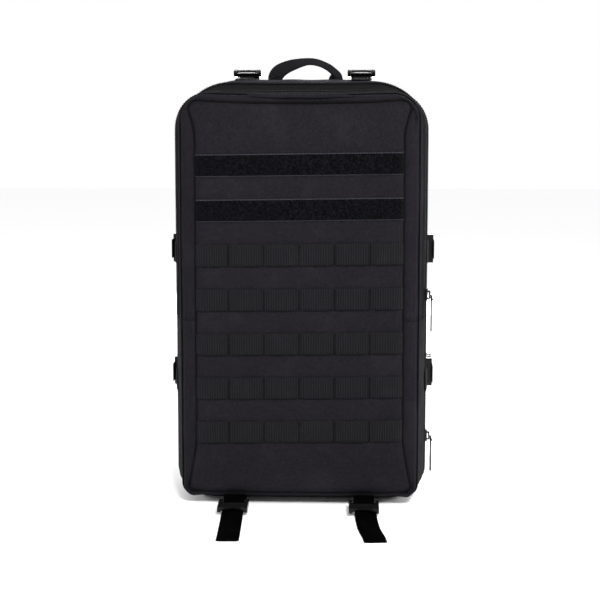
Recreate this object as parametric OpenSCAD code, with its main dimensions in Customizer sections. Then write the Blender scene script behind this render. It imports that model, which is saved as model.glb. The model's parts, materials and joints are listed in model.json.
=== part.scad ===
// Trauma backpack: a padded shell, a clamshell lid that carries the front
// compartment, a fold-down front cover, webbing, zips, buckles and shoulder straps.
// +Z up, the pack's front faces -Y, the origin is the centre of the base's underside.

/* [Pack] */
// Half of the pack's greatest width
half_w = 147.5; // [140:0.5:155]
// Height of the bottom seam above the surface the base rests on
seam_z = 12; // [10:0.5:14]
// Top of the pack at its rear
top_z = 494; // [485:1:505]
// Front face of the front panel
front_y = -110; // [-115:1:-105]
// Rear face of the back wall
back_y = 100; // [98:1:104]
// Thickness of the sewn and foam-lined walls
wall = 2.5; // [2:0.1:3.5]

/* [Lids] */
// Height of the line where the front cover folds
cover_fold_z = 215; // [208:1:222]
// Height of the line about which the clamshell lid tips forward
lid_fold_z = 16; // [15:0.5:18]
// Plane of the front compartment's zip
front_zip_y = -62; // [-66:1:-58]
// Plane of the main compartment's zip
main_zip_y = -25; // [-28:1:-22]

/* [Webbing] */
// Width of all straps and of the ladder webbing
web_w = 25; // [24:0.5:25.5]
// Pitch of the ladder webbing rows
row_pitch = 50.6; // [50:0.2:51]
// Height of the lowest ladder webbing row's centre
row5_z = 89; // [86:1:92]
// Spacing of the bar tacks along a row
tack_pitch = 40; // [38:1:40]

/* [Hardware] */
// Width of a ladder lock and of a side-release buckle
buckle_w = 34; // [33:0.5:36]
// Height of the upper compression strap
upper_strap_z = 289; // [280:1:295]
// Height of the lower compression strap
lower_strap_z = 138; // [130:1:145]
// Distance of each lash strap from the middle
lash_x = 74; // [70:1:80]
// Distance of each top ladder lock from the middle
lifter_x = 70; // [66:1:74]
// Length of each loose lash tail on the surface
tail_len = 104; // [90:1:120]

/* [Hidden] */

cloth = [0.16, 0.15, 0.18];
tape = [0.13, 0.13, 0.15];
hook = [0.07, 0.07, 0.09];
hard = [0.05, 0.05, 0.06];
mesh = [0.10, 0.10, 0.11];

zip_gap = 0.4;          // half the gap between the two tapes of a zip
main_tape_w = 14.6;     // each main tape, stitched edge to coil
front_tape_w = 11.7;    // each front tape
web_t = 1.3;
big = 400;

row_z = [for (i = [0:6]) row5_z + row_pitch * (6 - i)]; // 0,1 loop strips, 2..6 rows 1..5

function arc(cx, cz, r, a0, a1, n) =
  [for (i = [0:n]) [cx + r * cos(a0 + (a1 - a0) * i / n), cz + r * sin(a0 + (a1 - a0) * i / n)]];
function rrect(x, z0, z1, rt, rb, n = 6) = concat(
  arc(x - rt, z1 - rt, rt, 0, 90, n), arc(-x + rt, z1 - rt, rt, 90, 180, n),
  arc(-x + rb, z0 + rb, rb, 180, 270, n), arc(x - rb, z0 + rb, rb, 270, 360, n));
function mirrored(p) = concat(p, [for (i = [len(p) - 1:-1:0]) [-p[i][0], p[i][1]]]);

// 2D shapes in the front, top and side views, extruded square to the view
module front_view(p, y0, y1) translate([0, y1, 0]) rotate([90, 0, 0]) linear_extrude(y1 - y0) polygon(p);
module top_view(p, z0, z1) translate([0, 0, z0]) linear_extrude(z1 - z0) polygon(p);
module side_view(p, x0, x1) translate([x0, 0, 0]) rotate([90, 0, 90]) linear_extrude(x1 - x0) polygon(p);
module box(x0, x1, y0, y1, z0, z1) translate([x0, y0, z0]) cube([x1 - x0, y1 - y0, z1 - z0]);
module both() { children(); mirror([1, 0, 0]) children(); }

// the front half of the pack, drawn in by g
function front_plan(g) = mirrored([
  [118 - g, front_y + g], [135 - g, front_y + 17 + g * 0.4], [half_w - 3.5 - g, front_y + 44],
  [half_w - g, main_zip_y], [half_w - g, 0]]);
module front_block(g) intersection() {
  front_view(rrect(half_w - g, seam_z + 0.5 + g, 484 - g, 42 - g, 20 - g), front_y + g, main_zip_y - zip_gap);
  top_view(front_plan(g), 0, 500);
  side_view([[front_y + g, seam_z], [front_y + g, 472 - g], [front_zip_y, 480 - g], [main_zip_y, 483 - g],
    [0, 484 - g], [0, seam_z]], -200, 200);
}
// the rear half, drawn in by g
function rear_plan(g) = mirrored([
  [half_w - g, main_zip_y - 1], [half_w - g, 20], [half_w - 3.5 - g, 60], [136 - g, 86 - g * 0.6], [116 - g, back_y - g]]);
module rear_block(g) intersection() {
  front_view(rrect(half_w - g, seam_z + 0.5 + g, top_z - g, 75 - g, 22 - g), main_zip_y + zip_gap, back_y - g);
  top_view(rear_plan(g), 0, 500);
  side_view([[-40, seam_z], [-40, 482 - g], [main_zip_y, 483 - g], [60, top_z - g], [back_y + 1, top_z - g],
    [back_y + 1, seam_z]], -200, 200);
}
module front_ring(y0, y1, z0) intersection() {
  difference() { front_block(0); translate([0, -0.01, 0]) front_block_cavity(); }
  box(-big, big, y0, y1, z0, 600);
}
module front_block_cavity() intersection() {
  front_view(rrect(half_w - wall, seam_z + 0.5 + wall, 484 - wall, 42 - wall, 20 - wall), -200, 100);
  top_view(front_plan(wall), 0, 500);
  side_view([[front_y + wall, seam_z], [front_y + wall, 472 - wall], [front_zip_y, 480 - wall],
    [main_zip_y, 483 - wall], [20, 484 - wall], [20, seam_z]], -200, 200);
}
module rear_block_cavity(y1) intersection() {
  front_view(rrect(half_w - wall, seam_z + 0.5 + wall, top_z - wall, 75 - wall, 22 - wall), -60, y1);
  top_view(mirrored([[half_w - wall, -60], [half_w - wall, 20], [half_w - 3.5 - wall, 60],
    [136 - wall, 85], [118 - wall, y1 + 0.5]]), 0, 500);
  side_view([[-60, seam_z], [-60, 481 - wall], [main_zip_y, 483 - wall], [60, top_z - wall], [back_y + 1, top_z - wall],
    [back_y + 1, seam_z]], -200, 200);
}

// ---- rear body
module rear_shell() color(cloth) difference() {
  intersection() { rear_block(0); box(-big, big, main_zip_y + zip_gap + main_tape_w, back_y, 0, 600); }
  rear_block_cavity(back_y - wall);
}
module main_zip_tape_shell() color(tape) difference() {
  intersection() { rear_block(0); box(-big, big, main_zip_y + zip_gap, main_zip_y + zip_gap + main_tape_w, 0, 600); }
  rear_block_cavity(back_y - wall);
}
module base_panel() color(cloth) intersection() {
  top_view(rrect(134, -94, 92, 26, 22), 0, seam_z);
  // the front tucks under, so the pack stands on the flat behind it
  side_view([[-94, 10.5], [-84, 6.6], [-72, 3.2], [-58, 0], [88, 0], [92, 3], [92, seam_z], [-94, seam_z]], -134, 134);
}
module frame_sheet() color([0.08, 0.08, 0.09])
  front_view(rrect(108, 34, 452, 30, 20), 94.6, 96.8);
module hydration_sleeve() color(mesh) difference() {
  front_view(rrect(104, 42, 332, 6, 14), 89.6, 94.4);
  front_view(rrect(102.2, 44, 340, 6, 12), 91.0, 95);
}
module back_pad(s) color(mesh)
  translate([s * 61, 0, 0]) front_view(rrect(47, 62, 402, 22, 22), back_y + 0.2, back_y + 11.5);
module strap_yoke() color(cloth)
  front_view(rrect(98, 428, 467, 8, 8), back_y + 0.2, back_y + 13);
module handle_feet() color(tape) both()
  side_view([[back_y + 0.2, 470], [back_y + 2.4, 470], [back_y + 2.4, 492.6], [back_y + 0.2, 492.6]], 27, 46);

// ---- compression straps: webs lie along the sides, buckles outside them
strap_zs = [upper_strap_z, lower_strap_z];
web_x0 = half_w + 0.5;
web_x1 = web_x0 + web_t;
buckle_x = web_x1 + 0.3;
buckle_y = 26;          // mouth of the female half
module compression_web_rear() color(tape) for (z = strap_zs) both()
  top_view([[half_w + 0.4, 47], [half_w + 0.4, 52], [half_w - 3, 61], [half_w - 10, 84], [half_w - 8.8, 84.4],
    [half_w - 1.7, 61.6], [web_x1, 52.6], [web_x1, 47]], z - web_w / 2, z + web_w / 2);
module compression_web_front() color(tape) for (z = strap_zs) both()
  box(web_x0, web_x1, -50, 22, z - web_w / 2, z + web_w / 2);

// side-release buckle. u runs along the strap, w across it, t away from the body.
bt = 8.4;               // thickness
module plate_outline(u0, u1, w) polygon([[u0, -w + 2.5], [u0 + 2.5, -w], [u1 - 3, -w], [u1, -w + 3],
  [u1, w - 3], [u1 - 3, w], [u0 + 2.5, w], [u0, w - 2.5]]);
module buckle_female() {
  difference() {
    union() {
      linear_extrude(1.9) plate_outline(0, 27, buckle_w / 2 - 1.5);
      translate([0, 0, bt - 1.9]) linear_extrude(1.9) plate_outline(0, 27, buckle_w / 2 - 1.5);
      linear_extrude(bt) plate_outline(23, 36, buckle_w / 2);
    }
    translate([28.4, -web_w / 2 - 0.8, -1]) cube([3.2, web_w + 1.6, bt + 2]);
    // thumb scallops beside the arms
    for (s = [-1, 1]) translate([10, s * (buckle_w / 2 + 5.2), -1]) cylinder(r = 8.5, h = bt + 2, $fn = 40);
  }
}
module buckle_male() {
  c = (bt - 4.2) / 2;
  difference() {
    union() {
      translate([0, 0, 0.6]) linear_extrude(bt - 1.2) plate_outline(-14, -0.6, buckle_w / 2);
      translate([0, 0, c]) linear_extrude(4.2) {
        for (s = [-1, 1]) polygon([[-1, s * 9.5], [-1, s * 14.5], [6, s * 15.2], [12, s * 16.6], [17, s * 16.6],
          [21.4, s * 12.5], [21.4, s * 10.6], [15, s * 12.6], [8, s * 11.6]]);
        polygon([[-1, -3.6], [-1, 3.6], [15, 2.8], [18, 0], [15, -2.8]]);
      }
    }
    translate([-10.6, -web_w / 2 - 0.8, -1]) cube([2.6, web_w + 1.6, bt + 2]);
    translate([-5.6, -web_w / 2 - 0.8, -1]) cube([2.2, web_w + 1.6, bt + 2]);
  }
}
// right side: u to +Y, w to +Z, t to +X
module on_side(z) translate([buckle_x, buckle_y, z]) rotate([90, 0, 90]) children();
module compression_buckle_female() color(hard) for (z = strap_zs) both() on_side(z) buckle_female();
module compression_male(s, z) color(hard) if (s > 0) on_side(z) buckle_male();
  else mirror([1, 0, 0]) on_side(z) buckle_male();

// ---- ladder lock. u from the fixed bar to the lip, w across, t up
module ladderlock() {
  w = buckle_w / 2;
  difference() {
    union() {
      for (s = [-1, 1]) translate([0, s > 0 ? w - 3.6 : -w, 0]) rotate([90, 0, 0]) mirror([0, 0, 1])
        linear_extrude(3.6) polygon([[-2.6, -1.6], [-1.6, -2.4], [26, -2.4], [31, -0.6], [32.4, 2.2], [30, 4.6],
          [14, 4.8], [6, 2.6], [-1.6, 2.2], [-2.6, 1.2]]);
      translate([0, -w + 1, 0]) rotate([-90, 0, 0]) cylinder(r = 2.1, h = 2 * w - 2, $fn = 32);
      translate([12.5, -w + 1, 0.4]) rotate([-90, 0, 0]) cylinder(r = 1.9, h = 2 * w - 2, $fn = 32);
      // lever plate, dished, with its lip
      translate([0, w - 0.4, 0]) rotate([90, 0, 0]) linear_extrude(2 * w - 0.8)
        polygon([[15.5, 3.1], [15.5, 4.9], [18, 6.0], [24, 6.2], [30, 4.9], [33.6, 2.6], [33.2, 1.2], [29.4, 2.6], [24, 3.6], [18.5, 3.4]]);
    }
    translate([50.5, 0, -5]) cylinder(r = 22, h = 20, $fn = 72);
    translate([24, 0, 22.2]) rotate([90, 0, 0]) cylinder(r = 17, h = 19, center = true, $fn = 72);
  }
}
lock_bottom = [front_y - 8, 8.8];     // y, z of the bottom locks' fixed bar
lock_tilt = 8;
module at_bottom(s) translate([s * lash_x, lock_bottom[0], lock_bottom[1]]) rotate([0, 0, -90])
  rotate([0, lock_tilt, 0]) children();
lock_top = [93, 499.1];
module at_top(s) translate([s * lifter_x, lock_top[0], lock_top[1]]) rotate([0, 0, -90]) children();
module ladderlock_bottom(s) color(hard) at_bottom(s) ladderlock();
module ladderlock_top(s) color(hard) at_top(s) ladderlock();
// loop of webbing from the bottom seam round the fixed bar, open towards the bar
module lash_anchor_loops() color(tape) both()
  side_view([[-84.5, 5.0], [-94.2, 4.6], [front_y - 3.6, 4.6], [front_y - 4.6, 5.8], [front_y - 4.6, 11.0], [front_y - 3.4, 12.0],
    [-94.2, 12.0], [-94.2, 10.7], [front_y - 4.6 + 1.6, 10.7], [front_y - 3.0, 5.9], [-94.2, 5.9], [-84.5, 6.3]],
    lash_x - web_w / 2 + 0.6, lash_x + web_w / 2 - 0.6);
// tail: out under the lip, down to the surface and forward
module lash_tail(s) color(tape) {
  y0 = lock_bottom[0] - 15;
  splay = s > 0 ? 4.5 : 0;
  translate([s * lash_x, 0, 0])
    intersection() {
      side_view([[y0, 2.2], [y0 - 14, 0.9], [y0 - 26, 0.4], [y0 - 26 - tail_len + 12, 0.4], [y0 - 26 - tail_len + 12, 0.4 + web_t],
        [y0 - 26, 0.4 + web_t], [y0 - 14, 0.9 + web_t], [y0, 2.2 + web_t]], -40, 40);
      top_view([[-web_w / 2 + 0.5, y0], [web_w / 2 - 0.5, y0], [web_w / 2 - 0.5 + s * 0.8, y0 - 26],
        [web_w / 2 + s * splay, y0 - 130], [-web_w / 2 + s * splay, y0 - 130], [-web_w / 2 + 0.5 + s * 0.8, y0 - 26]], -5, 20);
    }
}
module load_lifter_web() color(tape) both() {
  side_view([[26, 490.2], [60, 494.4], [86, 494.4], [86, 495.5], [60, 495.5], [26, 491.4]],
    lifter_x - web_w / 2, lifter_x + web_w / 2);
  side_view([[back_y + 0.3, 470], [back_y + 1.5, 470], [back_y + 1.5, 495.4], [back_y - 1.2, 499.4],
    [lock_top[0] + 3.4, 500.9], [lock_top[0] + 3.4, 499.7], [back_y - 2, 498.4], [back_y + 0.3, 494.8]],
    lifter_x - web_w / 2, lifter_x + web_w / 2);
}

// ---- lid with the lower front compartment
module lid_tub() color(cloth) difference() {
  intersection() { front_block(0); box(-big, big, front_y, main_zip_y - zip_gap - main_tape_w, 0, 600); }
  intersection() { front_block_cavity(); box(-big, big, front_y, main_zip_y - zip_gap - main_tape_w - wall, 0, 600); }
  box(-big, big, front_y - 1, front_zip_y + zip_gap + front_tape_w, cover_fold_z, 600);
}
module main_zip_tape_lid() color(tape)
  front_ring(main_zip_y - zip_gap - main_tape_w, main_zip_y - zip_gap, 0);
module front_zip_tape_tub() color(tape)
  front_ring(front_zip_y + zip_gap, front_zip_y + zip_gap + front_tape_w, cover_fold_z);
module front_zip_tape_cover() color(tape)
  front_ring(front_zip_y - zip_gap - front_tape_w, front_zip_y - zip_gap, cover_fold_z + 0.4);
module cover_shell() color(cloth) difference() {
  intersection() { front_block(0); box(-big, big, front_y, front_zip_y - zip_gap - front_tape_w, cover_fold_z + 0.4, 600); }
  front_block_cavity();
}
pocket_y = main_zip_y - zip_gap - main_tape_w;      // rear face of the divider
module lid_mesh_pocket() color(mesh) difference() {
  front_view(rrect(112, 62, 262, 4, 12), pocket_y, pocket_y + 5);
  front_view(rrect(110.4, 63.6, 272, 4, 10), pocket_y - 1, pocket_y + 3.8);
}
module organiser_loops() color(tape) {
  f = pocket_y - wall;
  box(-100, 100, f - 3.6, f - 2.4, 300, 338);
  for (x = [-98, -60, -20, 20, 60, 98]) box(x - 1.5, x + 1.5, f - 2.4, f, 300, 338);
}
// ladder webbing row: a band held off the panel by its bar tacks
module molle_row(i) color(tape) {
  z = row_z[i + 1];
  box(-117, 117, front_y - 2.4, front_y - 1.1, z - web_w / 2, z + web_w / 2);
  for (x = [-115.4, for (k = [-2:2]) k * tack_pitch, 115.4])
    box(x - 1.4, x + 1.4, front_y - 1.1, front_y, z - web_w / 2, z + web_w / 2);
}
module loop_strip(i) color(hook)
  box(-117.5, 117.5, front_y - 2.4, front_y, row_z[i] - 12.8, row_z[i] + 12.8);

// ---- zip sliders and pulls. local: track along Z, x away from the pack
module slider() {
  front = [[-4.6, 6.4], [-3.4, 7], [3.4, 7], [4.6, 6.4], [3.2, -1.5], [3.2, -6], [2.4, -7], [-2.4, -7], [-3.2, -6], [-3.2, -1.5]];
  rotate([90, 0, 90]) linear_extrude(2.2) polygon(front);
  rotate([90, 0, 0]) translate([0, 0, -1.1]) linear_extrude(2.2)
    polygon([[2, -5.5], [4.6, -5.5], [5.4, -4.6], [5.4, 3.6], [4.6, 4.5], [2, 4.5], [2, 2.6], [3.6, 2.6], [3.6, -3.8], [2, -3.8]]);
}
module pull() {
  o = 0.5;
  // ring through the crown, then a moulded cord grip
  difference() {
    translate([5.2 + o, -2.9, -9.5]) cube([1.8, 5.8, 8.5]);
    translate([4, 0, -4.4]) rotate([0, 90, 0]) cylinder(r = 1.6, h = 8, $fn = 24);
  }
  translate([5.2 + o, 0, 0]) rotate([90, 0, 90]) linear_extrude(1.8)
    polygon([[-1.4, -9], [1.4, -9], [1.4, -22], [3, -25], [3, -41], [1.8, -43.5], [-1.8, -43.5], [-3, -41], [-3, -25], [-1.4, -22]]);
}
front_slider_z = 242;
main_slider_z = 68;
// both on the pack's right side, each at the closed end of its zip
module at_front_zip() translate([half_w - 2.5, front_zip_y, front_slider_z]) children();
module at_main_zip() translate([half_w + 0.3, main_zip_y, main_slider_z]) children();

// ---- grab handle
handle_axis = [98.5, 497.2];   // y, z
module grab_handle() color(tape) {
  n = 16;
  outer = [for (i = [0:n]) [46 * cos(180 * i / n), 499 + 21.5 * sin(180 * i / n)]];
  inner = [for (i = [n:-1:0]) [33 * cos(180 * i / n), 499 + 12 * sin(180 * i / n)]];
  front_view(concat(outer, inner), handle_axis[0] - 3, handle_axis[0] + 3);
}

// ---- shoulder straps
strap_top = [120, 456];
strap_end_z = 150;
function strap_y(t) = 120 + 28 * sin(180 * t);
function strap_x(t) = 60 + 40 * t;
function strap_hw(t) = t < 0.75 ? 31 : 31 - 13 * (t - 0.75) / 0.25;
sn = 14;
module shoulder_strap(s) color(cloth) {
  mid = [for (i = [0:sn]) let (t = i / sn) [strap_y(t), strap_top[1] + (strap_end_z - strap_top[1]) * t]];
  side = concat([for (p = mid) [p[0] + 6, p[1]]], [for (i = [sn:-1:0]) [mid[i][0] - 6, mid[i][1]]]);
  outline = concat(
    [for (i = [0:sn]) let (t = i / sn) [s * (strap_x(t) + strap_hw(t)), mid[i][1]]],
    [for (i = [sn:-1:0]) let (t = i / sn) [s * (strap_x(t) - strap_hw(t)), mid[i][1]]]);
  intersection() { side_view(side, -200, 200); front_view(outline, 0, 300); }
}
module lower_ladderlock(s) color(hard)
  translate([s * strap_x(1), 120, strap_end_z - 5.4]) multmatrix([[0, -1, 0, 0], [0, 0, 1, 0], [-1, 0, 0, 0]]) ladderlock();
module lower_web(s) color(tape) translate([s * strap_x(1), 0, 0])
  side_view([[116.5, 128], [115.2, 128], [113.4, 104], [112.2, 66], [112, 58], [104.3, 32], [105.6, 31.6], [113.3, 57.7],
    [113.5, 66], [114.7, 104]], -web_w / 2 + 0.4, web_w / 2 - 0.4);
module lower_strap_anchors() color(cloth) both() translate([strap_x(1), 0, 0])
  front_view([[-16, 24], [16, 24], [16, 44], [12.5, 58], [-12.5, 58], [-16, 44]], back_y + 0.2, back_y + 3.6);

// ---- D-rings
dring_z = 316;
ring_t = (strap_top[1] - dring_z) / (strap_top[1] - strap_end_z);
ring_y = strap_y(ring_t) + 6 + 3.4;
module d_ring(s) color(hard) translate([s * strap_x(ring_t), ring_y, dring_z]) {
  translate([-14, 0, 0]) rotate([0, 90, 0]) cylinder(r = 1.9, h = 28, $fn = 28);
  rotate([90, 0, 0]) rotate([0, 0, 180]) rotate_extrude(angle = 180, $fn = 64) translate([14, 0]) circle(r = 1.9, $fn = 28);
}

// ---- sternum strap
sternum_z = 376;
sternum_t = (strap_top[1] - sternum_z) / (strap_top[1] - strap_end_z);
sternum_y = strap_y(sternum_t) + 6 + 2.2;
module strap_webbing(s) color(tape) {
  box(s > 0 ? 18 : -96, s > 0 ? 96 : -36, sternum_y, sternum_y + web_t, sternum_z - 10, sternum_z + 10);
  // keeper: a loop of webbing sewn to the strap, round the ring's bar
  translate([s * strap_x(ring_t), ring_y, dring_z]) rotate([0, 90, 0]) difference() {
    union() {
      translate([0, 0, -9.5]) cylinder(r = 3.3, h = 19, $fn = 32);
      translate([-14, -3.3, -9.5]) cube([14, 1.2, 19]);
    }
    translate([0, 0, -10]) cylinder(r = 2.2, h = 20, $fn = 32);
  }
}
// female on the left strap, u to -X
module at_sternum() translate([-4, sternum_y + web_t + 0.3, sternum_z]) rotate([90, 0, 0]) mirror([0, 0, 1])
  scale(0.82) mirror([1, 0, 0]) children();
module sternum_buckle_female() color(hard) at_sternum() buckle_female();
module sternum_buckle_male() color(hard) at_sternum() buckle_male();

rear_shell();
base_panel();
frame_sheet();
back_pad(-1);  // back_pad_left
back_pad(1);  // back_pad_right
strap_yoke();
handle_feet();
main_zip_tape_shell();
compression_web_rear();
compression_buckle_female();
lash_anchor_loops();
lower_strap_anchors();
hydration_sleeve();
load_lifter_web();
lid_tub();
main_zip_tape_lid();
front_zip_tape_tub();
compression_web_front();
molle_row(3);  // molle_row_3
molle_row(4);  // molle_row_4
molle_row(5);  // molle_row_5
lid_mesh_pocket();
organiser_loops();
cover_shell();
front_zip_tape_cover();
loop_strip(0);  // loop_strip_upper
loop_strip(1);  // loop_strip_lower
molle_row(1);  // molle_row_1
molle_row(2);  // molle_row_2
compression_male(-1, upper_strap_z);  // compression_male_upper_left
compression_male(1, upper_strap_z);  // compression_male_upper_right
compression_male(-1, lower_strap_z);  // compression_male_lower_left
compression_male(1, lower_strap_z);  // compression_male_lower_right
color(hard) at_main_zip() slider();  // main_slider
color(hard) at_main_zip() pull();  // main_pull
color(hard) at_front_zip() slider();  // front_slider
color(hard) at_front_zip() pull();  // front_pull
grab_handle();
ladderlock_top(-1);  // ladderlock_top_left
ladderlock_top(1);  // ladderlock_top_right
ladderlock_bottom(-1);  // ladderlock_bottom_left
ladderlock_bottom(1);  // ladderlock_bottom_right
lash_tail(-1);  // lash_tail_left
lash_tail(1);  // lash_tail_right
shoulder_strap(-1);  // shoulder_strap_left
shoulder_strap(1);  // shoulder_strap_right
d_ring(-1);  // d_ring_left
d_ring(1);  // d_ring_right
lower_web(-1);  // lower_web_left
lower_web(1);  // lower_web_right
lower_ladderlock(-1);  // lower_ladderlock_left
lower_ladderlock(1);  // lower_ladderlock_right
strap_webbing(-1);  // strap_webbing_left
strap_webbing(1);  // strap_webbing_right
sternum_buckle_female();
sternum_buckle_male();
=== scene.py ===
import json
import math

import bpy
import numpy as np
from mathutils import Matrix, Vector


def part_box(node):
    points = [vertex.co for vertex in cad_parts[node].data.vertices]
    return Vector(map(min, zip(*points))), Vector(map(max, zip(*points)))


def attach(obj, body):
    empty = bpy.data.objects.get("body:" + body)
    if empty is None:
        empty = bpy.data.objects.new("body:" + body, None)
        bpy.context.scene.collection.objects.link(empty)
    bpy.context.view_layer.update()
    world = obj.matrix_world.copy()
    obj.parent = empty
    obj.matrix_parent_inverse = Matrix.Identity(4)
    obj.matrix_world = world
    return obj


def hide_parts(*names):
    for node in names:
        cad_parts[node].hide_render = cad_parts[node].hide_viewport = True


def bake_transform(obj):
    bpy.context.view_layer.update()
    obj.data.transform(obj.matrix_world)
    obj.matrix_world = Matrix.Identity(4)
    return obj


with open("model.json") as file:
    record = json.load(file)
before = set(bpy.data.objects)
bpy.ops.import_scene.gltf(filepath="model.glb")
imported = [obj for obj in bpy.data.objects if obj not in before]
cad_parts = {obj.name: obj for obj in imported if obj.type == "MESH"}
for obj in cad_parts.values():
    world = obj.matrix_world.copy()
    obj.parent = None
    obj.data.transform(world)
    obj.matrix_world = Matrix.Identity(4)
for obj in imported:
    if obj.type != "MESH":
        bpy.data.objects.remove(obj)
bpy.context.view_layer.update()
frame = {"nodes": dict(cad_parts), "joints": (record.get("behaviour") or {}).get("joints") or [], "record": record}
SCENE = bpy.context.scene
PI = math.pi


def lo(n):
    return np.array(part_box(n)[0]) * 1000


def hi(n):
    return np.array(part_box(n)[1]) * 1000


# ------------------------------------------------------------------ the CAD's own numbers, in millimetres
HW = hi("main_zip_tape_lid")[0]                                             # half width
FY = lo("cover_shell")[1]                                                   # front face
BY = hi("rear_shell")[1]                                                    # rear face
FOLD = lo("cover_shell")[2] - 0.4                                           # cover's fold
FZ = (lo("front_zip_tape_tub")[1] + hi("front_zip_tape_cover")[1]) / 2      # front zip plane
MZ = (lo("main_zip_tape_shell")[1] + hi("main_zip_tape_lid")[1]) / 2        # main zip plane
TOP = hi("rear_shell")[2]
DZ = TOP - 494.0                                                            # 0 for the CAD as designed

# ------------------------------------------------------------------ camera first
cam = bpy.data.objects.new("camera", bpy.data.cameras.new("camera"))
SCENE.collection.objects.link(cam)
cam.data.lens = 85.7
cam.data.sensor_width = 36
cam.location = (0.060, FY / 1000 - 1.602, 0.430)
aim = Vector((0.001, FY / 1000 - 0.002, 0.2406))
cam.rotation_euler = (aim - cam.location).to_track_quat("-Z", "Y").to_euler()
cam.data.clip_end = 50
SCENE.camera = cam


# ------------------------------------------------------------------ shader helpers
class Nodes:
    def __init__(self, name):
        self.mat = bpy.data.materials.new(name)
        self.mat.use_nodes = True
        self.t = self.mat.node_tree
        self.b = self.t.nodes["Principled BSDF"]

    def link(self, a, b):
        self.t.links.new(a, b)

    def put(self, sock, v):
        if isinstance(v, bpy.types.NodeSocket):
            self.link(v, sock)
        else:
            sock.default_value = v

    def math(self, op, a, b=0.0, c=0.0):
        n = self.t.nodes.new("ShaderNodeMath")
        n.operation = op
        for i, v in enumerate((a, b, c)):
            self.put(n.inputs[i], v)
        return n.outputs[0]

    def coord(self, kind):
        n = self.t.nodes.new("ShaderNodeTexCoord")
        return n.outputs[kind]

    def split(self, v):
        n = self.t.nodes.new("ShaderNodeSeparateXYZ")
        self.link(v, n.inputs[0])
        return n.outputs

    def noise(self, vec, scale, detail=3.0, rough=0.55):
        n = self.t.nodes.new("ShaderNodeTexNoise")
        self.link(vec, n.inputs["Vector"])
        n.inputs["Scale"].default_value = scale
        n.inputs["Detail"].default_value = detail
        n.inputs["Roughness"].default_value = rough
        return n.outputs["Fac"]

    def voronoi(self, vec, scale, feature="F1"):
        n = self.t.nodes.new("ShaderNodeTexVoronoi")
        n.feature = feature
        self.link(vec, n.inputs["Vector"])
        n.inputs["Scale"].default_value = scale
        return n.outputs["Distance"]

    def ramp(self, fac, a, b, c0=0.0, c1=1.0):
        n = self.t.nodes.new("ShaderNodeMapRange")
        self.put(n.inputs["Value"], fac)
        n.inputs["From Min"].default_value = a
        n.inputs["From Max"].default_value = b
        n.inputs["To Min"].default_value = c0
        n.inputs["To Max"].default_value = c1
        return n.outputs[0]

    def mix(self, fac, a, b):
        n = self.t.nodes.new("ShaderNodeMix")
        n.data_type = "RGBA"
        self.put(n.inputs[0], fac)
        self.put(n.inputs[6], a)
        self.put(n.inputs[7], b)
        return n.outputs[2]

    def bump(self, height, distance, strength=1.0, normal=None):
        n = self.t.nodes.new("ShaderNodeBump")
        n.inputs["Distance"].default_value = distance
        n.inputs["Strength"].default_value = strength
        self.link(height, n.inputs["Height"])
        if normal is not None:
            self.link(normal, n.inputs["Normal"])
        return n.outputs[0]


def rgb(c, k=1.0):
    return (c[0] * k, c[1] * k, c[2] * k, 1.0)


def wave(n, s, period):
    return n.math("SINE", n.math("MULTIPLY", s, 2 * PI / period))


def pack_cloth(name, col, thread=0.0009, uv=True, depth=0.00022, crumple=0.0012, rough=0.78):
    """Coated plain-weave nylon: over-and-under threads, slubs, soft creases, faint dust and scuffs, and broad patches
    of painted shade.
    """
    n = Nodes(name)
    obj = n.coord("Object")
    x, y, z = n.split(n.coord("UV") if uv else obj)
    if uv:
        a, b = x, y
    else:
        a, b = n.math("ADD", x, y), n.math("ADD", z, n.math("MULTIPLY", y, 0.37))
    weave = n.math("MULTIPLY", wave(n, a, thread * 2), wave(n, b, thread * 2))
    slub = n.noise(obj, 900, 2)
    mottle = n.noise(obj, 60, 5, 0.6)
    broad_painted_shade = n.noise(obj, 11, 3)
    dust = n.ramp(n.noise(obj, 26, 6, 0.65), 0.52, 0.78)
    base = n.mix(mottle, rgb(col, 0.82), rgb(col, 1.2))
    base = n.mix(n.ramp(weave, -1, 1, 0.0, 0.35), base, rgb(col, 1.35))
    # Broad random darker patches: painted shade standing in for the soft shading of the panel's bulges.
    base = n.mix(n.ramp(broad_painted_shade, 0.35, 0.7, 0.0, 0.5), base, rgb(col, 0.6))
    base = n.mix(n.ramp(n.noise(obj, 620, 4, 0.7), 0.36, 0.66, 0.0, 0.8), base, rgb(col, 1.8))
    base = n.mix(n.ramp(n.noise(obj, 330, 3, 0.75), 0.40, 0.60, 0.0, 0.5), base, rgb(col, 0.55))
    base = n.mix(n.math("MULTIPLY", dust, 0.03), base, (0.10, 0.097, 0.10, 1))
    n.link(base, n.b.inputs["Base Color"])
    n.link(n.ramp(mottle, 0.3, 0.7, rough - 0.07, rough + 0.08), n.b.inputs["Roughness"])
    h1 = n.bump(n.noise(obj, 34, 4, 0.5), crumple, 0.45)
    h2 = n.bump(n.math("ADD", weave, n.math("MULTIPLY", slub, 0.6)), depth, 0.8, h1)
    n.link(h2, n.b.inputs["Normal"])
    n.b.inputs["Sheen Weight"].default_value = 0.03
    n.b.inputs["Sheen Tint"].default_value = (0.16, 0.15, 0.19, 1)
    n.b.inputs["Sheen Roughness"].default_value = 0.5
    n.b.inputs["Specular IOR Level"].default_value = 0.035
    return n.mat


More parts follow.
